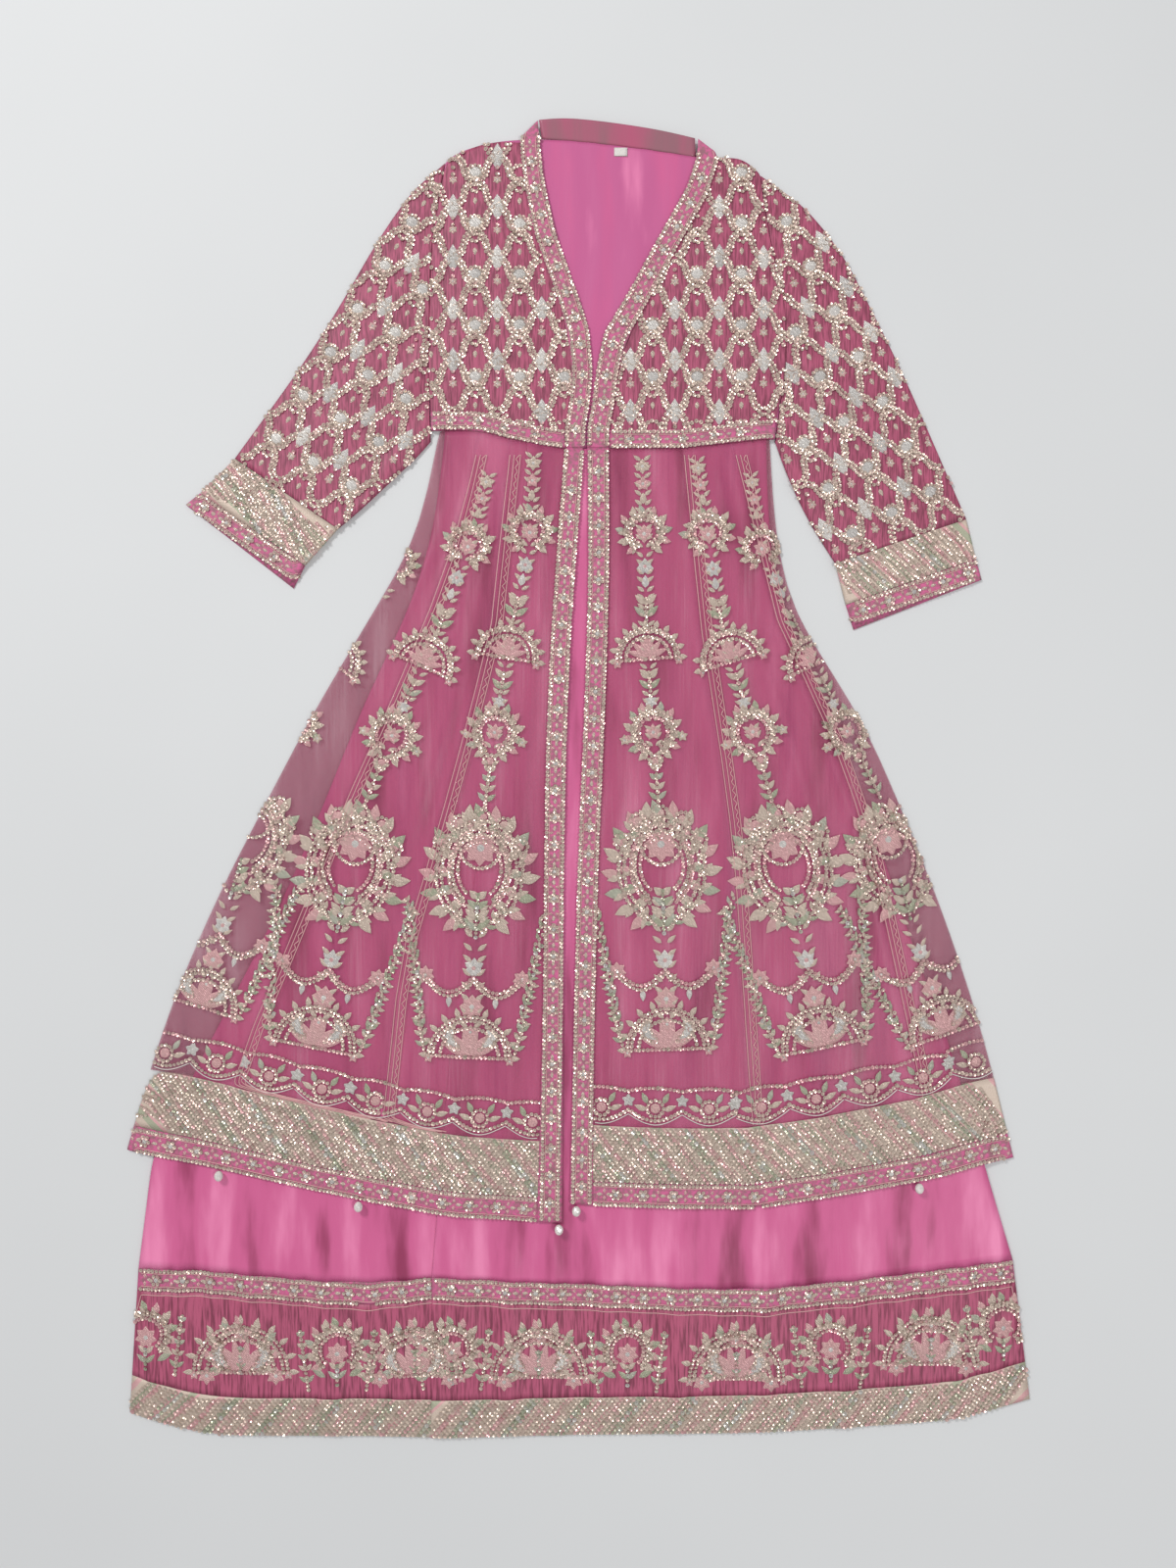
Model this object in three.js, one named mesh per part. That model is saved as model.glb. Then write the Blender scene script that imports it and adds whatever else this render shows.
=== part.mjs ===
// An anarkali gown laid flat, front side up, with its collar towards +Y.
// Millimetres, +Z up, z = 0 is the surface that the cloth lies on and x = 0 is its middle.
// Every panel is a thin wall on a lattice of rows (down the gown) and named lines (across it).
// Panels that lie on each other share a lattice, so they stay a fixed gap apart.
import * as THREE from 'three';

const LENGTH = 1370;          // collar edge to the lowest hem
const WALL = 1.0;             // thickness of each cloth wall
const LEVEL = 1.4;            // one cloth wall and the air to the next one
const SEAM_GAP = 0.3;         // clearance between panels that meet edge to edge
const FOLD_SHARE = 0.33;      // share of the fold height that each skirt layer adds
const SHOULDER_BOW = 9;       // how far the shoulder line arches up
const HEM_STRIPE = 58;        // depth of the diagonal stripe band on the outer hem
const HEM_TRIM = 25;          // depth of the narrow trim below it
const WAIST_TRIM = 19;        // depth of the trim above the waist seam
const INNER_TRIM = 23;        // depth of the trim above the inner skirt's border
const INNER_STRIPE = 39;      // depth of the stripe band at the inner hem
const SLEEVE_PUFF = 2.3;      // extra height in the middle of a flattened sleeve
const BUST_PUFF = 2.2;        // extra height in the middle of a bodice front
const BEAD = { radius: 4.6, length: 5.4, drop: 6.2, clearance: 2.2 };
const LABEL = { x: 44, down: 31, width: 14, height: 9 };

const PINK = '#c4568c';
const SATIN = '#d9639c';
const SATIN_INSIDE = '#dc74a6';
const ROSE = '#a04a66';
const CHAMPAGNE = '#b9a393';
const STRIPE = '#c0a39b';
const SILVER = '#d4d2d0';
const WHITE = '#ecebe8';

// Skirt lines across, left to right. "fold" and "lap" are the edges of the lapped inner front.
const SKIRT_LINES = ['edgeL', 'liningL', 'seamA', 'seamB', 'fold', 'lap', 'bandLout', 'bandLin',
  'bandRin', 'bandRout', 'seamC', 'seamD', 'liningR', 'edgeR'];

// Position across (mm from the middle) of each line, by share v of the way from waist to outer hem.
const SKIRT_ACROSS = [
  { v: 0.00, x: [-145, -138, -102, -71, -53, -37, -13, 5, 9, 32, 107, 158, 195, 199] },
  { v: 0.14, x: [-164, -149, -126, -83, -62, -45, -21, -4, 10, 33, 117, 184, 197, 204] },
  { v: 0.25, x: [-212, -176, -156, -92, -70, -53, -29, -8, 9, 30, 126, 204, 215, 226] },
  { v: 0.38, x: [-271, -224, -198, -118, -85, -65, -34, -12, 5, 27, 143, 253, 264, 292] },
  { v: 0.53, x: [-330, -268, -250, -151, -102, -81, -35, -15, 0, 21, 159, 295, 305, 341] },
  { v: 0.68, x: [-387, -318, -295, -186, -122, -98, -36, -16, -3, 18, 167, 320, 341, 385] },
  { v: 0.83, x: [-432, -377, -344, -199, -136, -111, -39, -16, -6, 16, 175, 345, 384, 421] },
  { v: 1.00, x: [-469, -442, -386, -214, -146, -121, -43, -17, -9, 15, 185, 372, 421, 452] },
];

// Distance below the collar edge of the waist seam, the outer hem, the inner trim and the inner hem
// along each line, and where the inner skirt's lines lie at its trim and its hem.
const SKIRT_DOWN = {
  waist: [324, 324, 324, 333, 337, 340, 343, 343, 343, 343, 343, 337, 333, 333],
  hem: [1071, 1077, 1086, 1124, 1135, 1138, 1145, 1145, 1125, 1128, 1131, 1099, 1085, 1079],
  innerTrim: [1194, 1194, 1195, 1210, 1202, 1203, 1209, 1209, 1210, 1210, 1216, 1194, 1185, 1185],
  innerHem: [1344, 1344, 1368, 1368, 1370, 1370, 1368, 1368, 1367, 1367, 1365, 1352, 1330, 1330],
};
const INNER_ACROSS = {
  innerTrim: [-457, -457, -393, -219, -152, -127, -43, -17, -9, 15, 189, 383, 451, 451],
  innerHem: [-466, -466, -393, -222, -153, -127, -43, -17, -9, 15, 194, 393, 469, 469],
};

// Soft folds of the skirt: the line each follows, its height, half width, and share down the skirt.
const SKIRT_FOLDS = [
  { line: 1.6, height: 4.5, width: 30, top: 0.06, bottom: 1.25 },
  { line: 2.6, height: 7.0, width: 34, top: 0.04, bottom: 1.30 },
  { line: 4.6, height: 5.5, width: 36, top: 0.10, bottom: 1.20 },
  { line: 9.5, height: 6.0, width: 34, top: 0.08, bottom: 1.28 },
  { line: 10.5, height: 7.5, width: 38, top: 0.05, bottom: 1.22 },
  { line: 11.7, height: 5.0, width: 30, top: 0.03, bottom: 1.30 },
];

// Bodice lines across: side seam or armhole, and both edges of the neck band, on each front.
const BODICE_ROWS = [
  { v: 0.00, sideL: -138, bandLout: -61, bandLin: -40, bandRin: 124, bandRout: 146, sideR: 189 },
  { v: 0.12, sideL: -144, bandLout: -57, bandLin: -36, bandRin: 111, bandRout: 135, sideR: 193 },
  { v: 0.30, sideL: -152, bandLout: -46, bandLin: -23, bandRin: 80, bandRout: 104, sideR: 202 },
  { v: 0.50, sideL: -154, bandLout: -22, bandLin: -1, bandRin: 47, bandRout: 71, sideR: 215 },
  { v: 0.62, sideL: -155, bandLout: -11, bandLin: 13, bandRin: 24, bandRout: 50, sideR: 216 },
  { v: 0.75, sideL: -156, bandLout: -6, bandLin: 15, bandRin: 18, bandRout: 40, sideR: 215 },
  { v: 1.00, sideL: -153, bandLout: -13, bandLin: 6, bandRin: 9, bandRout: 32, sideR: 204 },
];
const BODICE_TOP = { sideL: 46, bandLout: 26, bandLin: 24, bandRin: 39, bandRout: 42, sideR: 59 };
const BODICE_WAIST = { sideL: 324, bandLout: 343, bandLin: 343, bandRin: 343, bandRout: 343, sideR: 332 };

// Skirt lines that the columns of each front meet at the waist.
const FRONT_COLUMNS = {
  left: ['liningL', 'seamA', 'seamB', 'lap'],
  right: ['liningR', 'seamD', 'seamC'],
};

// Collar stand, laid open beyond the back neckline: its neck seam and its free edge.
const COLLAR = [
  { seam: [-38, 21], edge: [-41, 3] },
  { seam: [-8, 23], edge: [-12, 0] },
  { seam: [40, 28], edge: [38, 6] },
  { seam: [85, 34], edge: [84, 13] },
  { seam: [122, 40], edge: [121, 22] },
];
// Columns of the back: where each starts on the shoulders or neckline, and where it meets the waist.
const BACK_COLUMNS = [
  { top: [-138, 46], waist: -153 },
  { top: [-127, 35], waist: -138 },
  { top: [-94, 25], waist: -102 },
  { top: [-68, 22], waist: -71 },
  { top: COLLAR[0].seam, waist: -37 },
  { top: COLLAR[1].seam, waist: -13 },
  { top: COLLAR[2].seam, waist: 32 },
  { top: COLLAR[3].seam, waist: 70 },
  { top: COLLAR[4].seam, waist: 107 },
  { top: [155, 42], waist: 158 },
  { top: [181, 54], waist: 195 },
  { top: [189, 59], waist: 204 },
];
const COLLAR_LIFT = 3.5;      // how far the collar's free edge stands off the surface

// Sleeves: outer and inner edge as [across, below the collar], by share s from armhole to cuff.
const SLEEVES = {
  left: [
    { s: 0.00, outer: [-138, 47], inner: [-153, 335] },
    { s: 0.15, outer: [-175, 78], inner: [-169, 353] },
    { s: 0.30, outer: [-212, 131], inner: [-189, 371] },
    { s: 0.45, outer: [-250, 200], inner: [-208, 389] },
    { s: 0.60, outer: [-293, 265], inner: [-227, 407] },
    { s: 0.78, outer: [-357, 353], inner: [-250, 426] },
    { s: 0.93, outer: [-393, 389], inner: [-284, 464] },
    { s: 1.00, outer: [-408, 401], inner: [-296, 482] },
  ],
  right: [
    { s: 0.00, outer: [189, 61], inner: [204, 335] },
    { s: 0.15, outer: [237, 94], inner: [214, 363] },
    { s: 0.30, outer: [275, 139], inner: [226, 391] },
    { s: 0.45, outer: [304, 198], inner: [240, 419] },
    { s: 0.60, outer: [335, 259], inner: [253, 440] },
    { s: 0.78, outer: [403, 416], inner: [267, 462] },
    { s: 0.93, outer: [413, 457], inner: [278, 505] },
    { s: 1.00, outer: [419, 479], inner: [286, 525] },
  ],
};
const SLEEVE_STRIPE = 0.78;   // where the cuff's stripe band starts
const SLEEVE_TRIM = 0.93;     // where the narrow trim starts
const UNDER_CUFF_EXTRA = 6;   // how much further the under half of a cuff reaches

// Pearl beads hang just below the outer hem, at these places across.
const BEADS_ACROSS = [-371, -227, -20, -2, 352];

const gown = new THREE.Group();

const mix = (a, b, t) => a + (b - a) * t;
const clamp01 = (t) => Math.min(1, Math.max(0, t));
const heightY = (down) => LENGTH / 2 - down;

// Reads a value from rows sorted by a key, straight between two rows.
function lookUp(rows, key, at, read) {
  let i = 0;
  while (i < rows.length - 2 && rows[i + 1][key] < at) i += 1;
  const t = (at - rows[i][key]) / (rows[i + 1][key] - rows[i][key]);
  const low = read(rows[i]);
  const high = read(rows[i + 1]);
  return Array.isArray(low) ? low.map((value, n) => mix(value, high[n], t)) : mix(low, high, t);
}

function finish(name, geometry, color, roughness, metalness = 0) {
  geometry.computeVertexNormals();
  const material = new THREE.MeshStandardMaterial({ color, roughness, metalness });
  const mesh = new THREE.Mesh(geometry, material);
  mesh.name = name;
  gown.add(mesh);
}

// Moves a border point a little towards its inner neighbour, to leave the seam gap.
function pullIn(point, neighbour, distance) {
  const dx = neighbour.x - point.x;
  const dy = neighbour.y - point.y;
  const length = Math.hypot(dx, dy);
  point.x += dx / length * distance;
  point.y += dy / length * distance;
}

// A closed cloth wall on a grid of points {x, y, z}, z being its underside.
function wall(name, grid, color, roughness, thickness = WALL) {
  const rows = grid.length;
  const cols = grid[0].length;
  const points = grid.map((row) => row.map((p) => ({ ...p })));
  for (let c = 0; c < cols; c += 1) {
    pullIn(points[0][c], grid[1][c], SEAM_GAP / 2);
    pullIn(points[rows - 1][c], grid[rows - 2][c], SEAM_GAP / 2);
  }
  for (let r = 0; r < rows; r += 1) {
    pullIn(points[r][0], grid[r][1], SEAM_GAP / 2);
    pullIn(points[r][cols - 1], grid[r][cols - 2], SEAM_GAP / 2);
  }
  const positions = [];
  const place = (side) => points.flat().forEach((p) => positions.push(p.x, p.y, p.z + side * thickness));
  place(1);
  place(0);
  const under = rows * cols;
  const at = (r, c) => r * cols + c;
  const faces = [];
  const quad = (a, b, c, d) => faces.push([a, b, c], [a, c, d]);
  for (let r = 0; r < rows - 1; r += 1) {
    for (let c = 0; c < cols - 1; c += 1) {
      quad(at(r, c), at(r + 1, c), at(r + 1, c + 1), at(r, c + 1));
      faces.push([under + at(r, c), under + at(r + 1, c + 1), under + at(r + 1, c)]);
      faces.push([under + at(r, c), under + at(r, c + 1), under + at(r + 1, c + 1)]);
    }
  }
  const rim = (a, b) => quad(a, b, under + b, under + a);
  for (let c = 0; c < cols - 1; c += 1) {
    rim(at(0, c), at(0, c + 1));
    rim(at(rows - 1, c + 1), at(rows - 1, c));
  }
  for (let r = 0; r < rows - 1; r += 1) {
    rim(at(r + 1, 0), at(r, 0));
    rim(at(r, cols - 1), at(r + 1, cols - 1));
  }
  const across = { x: grid[0][1].x - grid[0][0].x, y: grid[0][1].y - grid[0][0].y };
  const along = { x: grid[1][0].x - grid[0][0].x, y: grid[1][0].y - grid[0][0].y };
  const mirrored = along.x * across.y - along.y * across.x < 0;
  const index = faces.flatMap(([a, b, c]) => (mirrored ? [a, c, b] : [a, b, c]));
  const geometry = new THREE.BufferGeometry();
  geometry.setAttribute('position', new THREE.Float32BufferAttribute(positions, 3));
  geometry.setIndex(index);
  finish(name, geometry, color, roughness);
}

const slice = (grid, rowFrom, rowTo, colFrom, colTo) => grid
  .slice(rowFrom, rowTo + 1).map((row) => row.slice(colFrom, colTo + 1));

// ---- skirts ----

// Columns of the skirt lattice: every named line, with more columns inside the wide spaces.
const SPLITS = { edgeL: 2, seamA: 2, lap: 2, bandRout: 2, seamC: 3, liningR: 2 };
const skirtColumns = [];
const columnOf = {};
SKIRT_LINES.forEach((line, i) => {
  columnOf[line] = skirtColumns.length;
  const parts = i < SKIRT_LINES.length - 1 ? SPLITS[line] ?? 1 : 1;
  for (let k = 0; k < parts; k += 1) skirtColumns.push(i + k / parts);
});

const lineValue = (values, position) => {
  const i = Math.min(Math.floor(position), values.length - 2);
  return mix(values[i], values[i + 1], position - i);
};

// Rows of the skirt lattice. The outer skirt ends at OUTER_HEM_ROW, the inner one at the last row.
const OPEN_ROWS = 11;
const skirtRows = [];
const columnHem = (position) => lineValue(SKIRT_DOWN.hem, position);
for (let r = 0; r <= OPEN_ROWS; r += 1) {
  skirtRows.push((position) => {
    const waist = lineValue(SKIRT_DOWN.waist, position);
    return mix(waist, columnHem(position) - HEM_STRIPE - HEM_TRIM, r / OPEN_ROWS);
  });
}
const HEM_STRIPE_ROW = OPEN_ROWS;
skirtRows.push((position) => columnHem(position) - HEM_TRIM);
const HEM_TRIM_ROW = skirtRows.length - 1;
skirtRows.push(columnHem);
const OUTER_HEM_ROW = skirtRows.length - 1;
const innerTrimDown = (position) => lineValue(SKIRT_DOWN.innerTrim, position);
const innerHemDown = (position) => lineValue(SKIRT_DOWN.innerHem, position);
skirtRows.push((position) => mix(columnHem(position), innerTrimDown(position), 0.35));
skirtRows.push(innerTrimDown);
const INNER_TRIM_ROW = skirtRows.length - 1;
skirtRows.push((position) => innerTrimDown(position) + INNER_TRIM);
const INNER_BORDER_ROW = skirtRows.length - 1;
const borderDown = (position, t) => mix(
  innerTrimDown(position) + INNER_TRIM, innerHemDown(position) - INNER_STRIPE, t);
skirtRows.push((position) => borderDown(position, 0.5));
skirtRows.push((position) => borderDown(position, 1));
const INNER_STRIPE_ROW = skirtRows.length - 1;
skirtRows.push(innerHemDown);
const INNER_HEM_ROW = skirtRows.length - 1;

// Where a skirt line lies across, at a distance below the collar edge.
function skirtAcross(position, down) {
  const hem = columnHem(position);
  const waist = lineValue(SKIRT_DOWN.waist, position);
  const trim = innerTrimDown(position);
  if (down <= hem) {
    const v = (down - waist) / (hem - waist);
    return lookUp(SKIRT_ACROSS, 'v', v, (row) => lineValue(row.x, position));
  }
  const trimX = lineValue(INNER_ACROSS.innerTrim, position);
  if (down <= trim) {
    const hemX = lineValue(SKIRT_ACROSS[SKIRT_ACROSS.length - 1].x, position);
    return mix(hemX, trimX, (down - hem) / (trim - hem));
  }
  const t = (down - trim) / (innerHemDown(position) - trim);
  return mix(trimX, lineValue(INNER_ACROSS.innerHem, position), t);
}

// Height that the folds give to the top layer at a point.
function foldHeight(x, down, position) {
  const waist = lineValue(SKIRT_DOWN.waist, position);
  const v = (down - waist) / (columnHem(position) - waist);
  let height = 0;
  SKIRT_FOLDS.forEach((fold) => {
    const ridge = skirtAcross(fold.line, down);
    const spread = Math.exp(-(((x - ridge) / fold.width) ** 2));
    const start = clamp01((v - fold.top) / 0.2);
    const end = clamp01((fold.bottom - v) / 0.15);
    height += fold.height * spread * start * end;
  });
  const side = clamp01(Math.min(position - 1, SKIRT_LINES.length - 2 - position) + 0.35);
  return height * side;
}

// The skirt lattice for one layer. The layers outside the lining lines sink to the layer below.
function skirtGrid(layer, { lapped = false, restsBelowHem = 0 } = {}) {
  return skirtRows.map((downAt, r) => skirtColumns.map((position) => {
    const down = downAt(position);
    const x = skirtAcross(position, down);
    const last = SKIRT_LINES.length - 2;
    const beyond = Math.max(1 - position, position - last, 0);
    const sunk = Math.min(layer, mix(layer, 1, clamp01(beyond)));
    const onLap = position >= columnsFold.from && position <= columnsFold.to;
    const lift = lapped && onLap ? 1 : 0;
    const dropped = r > OUTER_HEM_ROW ? restsBelowHem : 0;
    const folds = foldHeight(x, down, position) * FOLD_SHARE * Math.min(layer, 3);
    return { x, y: heightY(down), z: (sunk + lift - dropped) * LEVEL + folds };
  }));
}
const columnsFold = { from: SKIRT_LINES.indexOf('fold'), to: SKIRT_LINES.indexOf('lap') };

function skirtPanel(name, grid, rows, lines, color, roughness) {
  const [from, to] = lines.map((line) => columnOf[line]);
  wall(name, slice(grid, rows[0], rows[1], from, to), color, roughness);
}

const backNet = skirtGrid(0);
const innerBack = skirtGrid(1, { restsBelowHem: 1 });
const innerFront = skirtGrid(2, { restsBelowHem: 1 });
const innerLapped = skirtGrid(2, { lapped: true, restsBelowHem: 1 });
const frontNet = skirtGrid(3, { lapped: true });
const frontBand = skirtGrid(4);

function makeOuterSkirt() {
  const whole = ['edgeL', 'edgeR'];
  const open = [0, HEM_STRIPE_ROW];
  const stripe = [HEM_STRIPE_ROW, HEM_TRIM_ROW];
  const trim = [HEM_TRIM_ROW, OUTER_HEM_ROW];
  skirtPanel('skirt_back', backNet, open, whole, PINK, 0.8);
  skirtPanel('hem_stripe_back', backNet, stripe, whole, STRIPE, 0.5);
  skirtPanel('hem_trim_back', backNet, trim, whole, CHAMPAGNE, 0.5);
  const gores = {
    skirt_left_side: ['edgeL', 'seamA'],
    skirt_left_middle: ['seamA', 'seamB'],
    skirt_left_centre: ['seamB', 'bandLin'],
    skirt_right_centre: ['bandRin', 'seamC'],
    skirt_right_middle: ['seamC', 'seamD'],
    skirt_right_side: ['seamD', 'edgeR'],
  };
  Object.entries(gores).forEach(([name, lines]) => {
    skirtPanel(name, frontNet, open, lines, PINK, 0.8);
  });
  const halves = { left: ['edgeL', 'bandLin'], right: ['bandRin', 'edgeR'] };
  Object.entries(halves).forEach(([side, lines]) => {
    skirtPanel(`hem_stripe_${side}`, frontNet, stripe, lines, STRIPE, 0.5);
    skirtPanel(`hem_trim_${side}`, frontNet, trim, lines, CHAMPAGNE, 0.5);
  });
  skirtPanel('front_band_left', frontBand, [0, OUTER_HEM_ROW], ['bandLout', 'bandLin'], CHAMPAGNE, 0.5);
  skirtPanel('front_band_right', frontBand, [0, OUTER_HEM_ROW], ['bandRin', 'bandRout'], CHAMPAGNE, 0.5);
}

function makeInnerSkirt() {
  const parts = [
    { name: 'back', grid: innerBack, lines: ['liningL', 'liningR'] },
    { name: 'front_left', grid: innerFront, lines: ['liningL', 'lap'] },
    { name: 'front_right', grid: innerLapped, lines: ['fold', 'liningR'] },
  ];
  parts.forEach(({ name, grid, lines }) => {
    skirtPanel(`inner_${name}`, grid, [0, INNER_TRIM_ROW], lines, SATIN, 0.45);
    skirtPanel(`inner_trim_${name}`, grid, [INNER_TRIM_ROW, INNER_BORDER_ROW], lines, CHAMPAGNE, 0.5);
    skirtPanel(`inner_border_${name}`, grid, [INNER_BORDER_ROW, INNER_STRIPE_ROW], lines, PINK, 0.7);
    skirtPanel(`inner_stripe_${name}`, grid, [INNER_STRIPE_ROW, INNER_HEM_ROW], lines, STRIPE, 0.5);
  });
}

// ---- bodice ----

const BODICE_STEPS = [0, 0.12, 0.21, 0.3, 0.4, 0.5, 0.62, 0.75, 0.85];
const BACK_STEPS = [0, 0.12, 0.3, 0.5, 0.75, 1];

// The waist seam's distance below the collar edge at a place across.
function waistDown(x) {
  const lines = SKIRT_DOWN.waist.map((down, i) => ({ x: SKIRT_ACROSS[0].x[i], down }));
  const within = Math.min(Math.max(x, lines[0].x), lines[lines.length - 1].x);
  return lookUp(lines, 'x', within, (row) => row.down);
}

// A point of the bodice at share v down, on a named line.
function bodicePoint(line, v) {
  const x = lookUp(BODICE_ROWS, 'v', v, (row) => row[line]);
  return { x, down: mix(BODICE_TOP[line], BODICE_WAIST[line], v) };
}

// Lattice of one front, from its side to the inner edge of its band.
function frontGrid(name, side, band, level) {
  const [outLine, inLine] = band;
  const sideWaist = bodicePoint(side, 1).x;
  const bandWaist = bodicePoint(outLine, 1).x;
  const shares = FRONT_COLUMNS[name].map((line) => {
    const x = SKIRT_ACROSS[0].x[SKIRT_LINES.indexOf(line)];
    return (x - sideWaist) / (bandWaist - sideWaist);
  });
  const rowAt = (v, raise) => {
    const a = bodicePoint(side, v);
    const b = bodicePoint(outLine, v);
    const c = bodicePoint(inLine, v);
    const row = [0, ...shares, 1].map((t) => {
      const x = mix(a.x, b.x, t);
      const bow = SHOULDER_BOW * 4 * t * (1 - t) * clamp01(1 - v / 0.3);
      const puff = BUST_PUFF * Math.sin(Math.PI * t) * Math.sin(Math.PI * clamp01(v / 0.92));
      const down = v < 1 ? mix(a.down, b.down, t) - bow : waistDown(x);
      return { x, y: heightY(down - raise), z: puff };
    });
    row.push({ x: c.x, y: heightY(c.down - raise), z: 0 });
    return row.map((p) => ({ ...p, z: p.z + level * LEVEL }));
  };
  const grid = BODICE_STEPS.map((v) => rowAt(v, 0));
  grid.push(rowAt(1, WAIST_TRIM));
  grid.push(rowAt(1, 0));
  return grid;
}

function makeBodice() {
  const sides = {
    left: { side: 'sideL', band: ['bandLout', 'bandLin'], collarEnd: [[-57, 18], [-42, 3]] },
    right: { side: 'sideR', band: ['bandRout', 'bandRin'], collarEnd: [[141, 35], [124, 22]] },
  };
  Object.entries(sides).forEach(([name, { side, band, collarEnd }]) => {
    const cloth = frontGrid(name, side, band, 2);
    const trim = frontGrid(name, side, band, 3);
    const last = cloth.length - 1;
    const bandFrom = cloth[0].length - 2;
    wall(`front_${name}`, cloth, PINK, 0.75);
    wall(`waist_trim_${name}`, slice(trim, last - 1, last, 0, bandFrom), CHAMPAGNE, 0.5);
    const neckBand = slice(trim, 0, last, bandFrom, bandFrom + 1);
    neckBand.unshift(collarEnd.map(([x, down]) => ({ x, y: heightY(down), z: 3 * LEVEL })));
    wall(`neck_band_${name}`, neckBand, CHAMPAGNE, 0.5);
  });
}

// Back of the bodice, flat on the surface, and its satin lining above it.
function backGrid(level) {
  return BACK_STEPS.map((v) => BACK_COLUMNS.map(({ top, waist }, i) => {
    const atSide = { 0: 'sideL', [BACK_COLUMNS.length - 1]: 'sideR' }[i];
    const x = atSide ? bodicePoint(atSide, v).x : mix(top[0], waist, v);
    return { x, y: heightY(mix(top[1], waistDown(waist), v)), z: level * LEVEL };
  }));
}

function makeBack() {
  wall('back', backGrid(0), PINK, 0.75);
  wall('back_lining', backGrid(1), SATIN_INSIDE, 0.4);
  const collar = ['edge', 'seam'].map((edge) => COLLAR.map((row) => {
    const lift = edge === 'edge' ? COLLAR_LIFT : 0;
    return { x: row[edge][0], y: heightY(row[edge][1]), z: LEVEL + lift };
  }));
  wall('collar', collar, ROSE, 0.5);
  const labelAt = (i, j) => ({
    x: LABEL.x + (i - 0.5) * LABEL.width,
    y: heightY(LABEL.down + 4 + (j - 0.5) * LABEL.height),
    z: 2 * LEVEL - 0.1,
  });
  wall('size_label', [[labelAt(0, 0), labelAt(1, 0)], [labelAt(0, 1), labelAt(1, 1)]], WHITE, 0.8);
}

// ---- sleeves ----

const SLEEVE_STEPS = [0, 0.08, 0.15, 0.3, 0.45, 0.6, 0.7, SLEEVE_STRIPE, SLEEVE_TRIM, 1];

// Lattice of a sleeve half: rows run down the sleeve, columns from the outer to the inner edge.
// Its first row follows the armhole, point by point with the back's rows.
function sleeveGrid(side, level, puffShare, extra) {
  const table = SLEEVES[side];
  const sideLine = side === 'left' ? 'sideL' : 'sideR';
  const outward = side === 'left' ? -1 : 1;
  return SLEEVE_STEPS.map((s) => {
    const outer = lookUp(table, 's', s, (row) => row.outer);
    const inner = lookUp(table, 's', s, (row) => row.inner);
    return BACK_STEPS.map((t) => {
      const straightX = mix(table[0].outer[0], table[0].inner[0], t);
      const straightDown = mix(table[0].outer[1], table[0].inner[1], t);
      const armhole = bodicePoint(sideLine, t);
      const fade = clamp01(1 - s / 0.3);
      const x = mix(outer[0], inner[0], t) + (armhole.x - straightX + outward * SEAM_GAP) * fade;
      const drop = t < 1 ? (armhole.down - straightDown) * fade : 0;
      const down = mix(outer[1], inner[1], t) + drop + (s === 1 ? extra * t : 0);
      const puff = SLEEVE_PUFF * Math.sin(Math.PI * t) * Math.sin(Math.PI * 0.85 * s);
      return { x, y: heightY(down), z: level * LEVEL + puffShare * puff };
    });
  });
}

function makeSleeves() {
  const stripeRow = SLEEVE_STEPS.indexOf(SLEEVE_STRIPE);
  const trimRow = SLEEVE_STEPS.indexOf(SLEEVE_TRIM);
  const lastRow = SLEEVE_STEPS.length - 1;
  ['left', 'right'].forEach((side) => {
    const halves = {
      under: sleeveGrid(side, 0, 0, UNDER_CUFF_EXTRA),
      upper: sleeveGrid(side, 1, 1, 0),
    };
    Object.entries(halves).forEach(([half, grid]) => {
      const piece = (from, to) => slice(grid, from, to, 0, BACK_STEPS.length - 1);
      wall(`sleeve_${side}_${half}`, piece(0, stripeRow), PINK, 0.75);
      wall(`cuff_stripe_${side}_${half}`, piece(stripeRow, trimRow), STRIPE, 0.5);
      wall(`cuff_trim_${side}_${half}`, piece(trimRow, lastRow), CHAMPAGNE, 0.5);
    });
  });
}

// ---- pearl beads ----

// The skirt line position that passes a place across, at the outer hem.
function hemPosition(x) {
  const hemX = SKIRT_ACROSS[SKIRT_ACROSS.length - 1].x;
  let i = 0;
  while (i < hemX.length - 2 && hemX[i + 1] < x) i += 1;
  return i + (x - hemX[i]) / (hemX[i + 1] - hemX[i]);
}

function makeBeads() {
  BEADS_ACROSS.forEach((x, i) => {
    const position = hemPosition(x);
    const down = columnHem(position) + BEAD.drop;
    const cloth = 2 * LEVEL + WALL + foldHeight(x, down, position) * FOLD_SHARE * 2;
    const z = cloth + BEAD.clearance + BEAD.radius;
    const bead = new THREE.SphereGeometry(BEAD.radius, 12, 8);
    bead.scale(1, BEAD.length / BEAD.radius, 1);
    bead.translate(x, heightY(down), z);
    finish(`bead_${i + 1}`, bead, SILVER, 0.25);
  });
}

makeOuterSkirt();
makeInnerSkirt();
makeBodice();
makeBack();
makeSleeves();
makeBeads();

export default gown;
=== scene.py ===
"""An embroidered anarkali gown laid flat, front side up.

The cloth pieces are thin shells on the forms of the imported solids. Folds are added to them,
and sequins, thread and silver pads are then laid on the cloth along rows of stitches.
All lengths are metres. +Y points from the hem to the collar and +Z off the surface.
"""
import bpy
import bmesh
import math
import random
import numpy as np
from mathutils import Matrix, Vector
from mathutils.bvhtree import BVHTree


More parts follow.
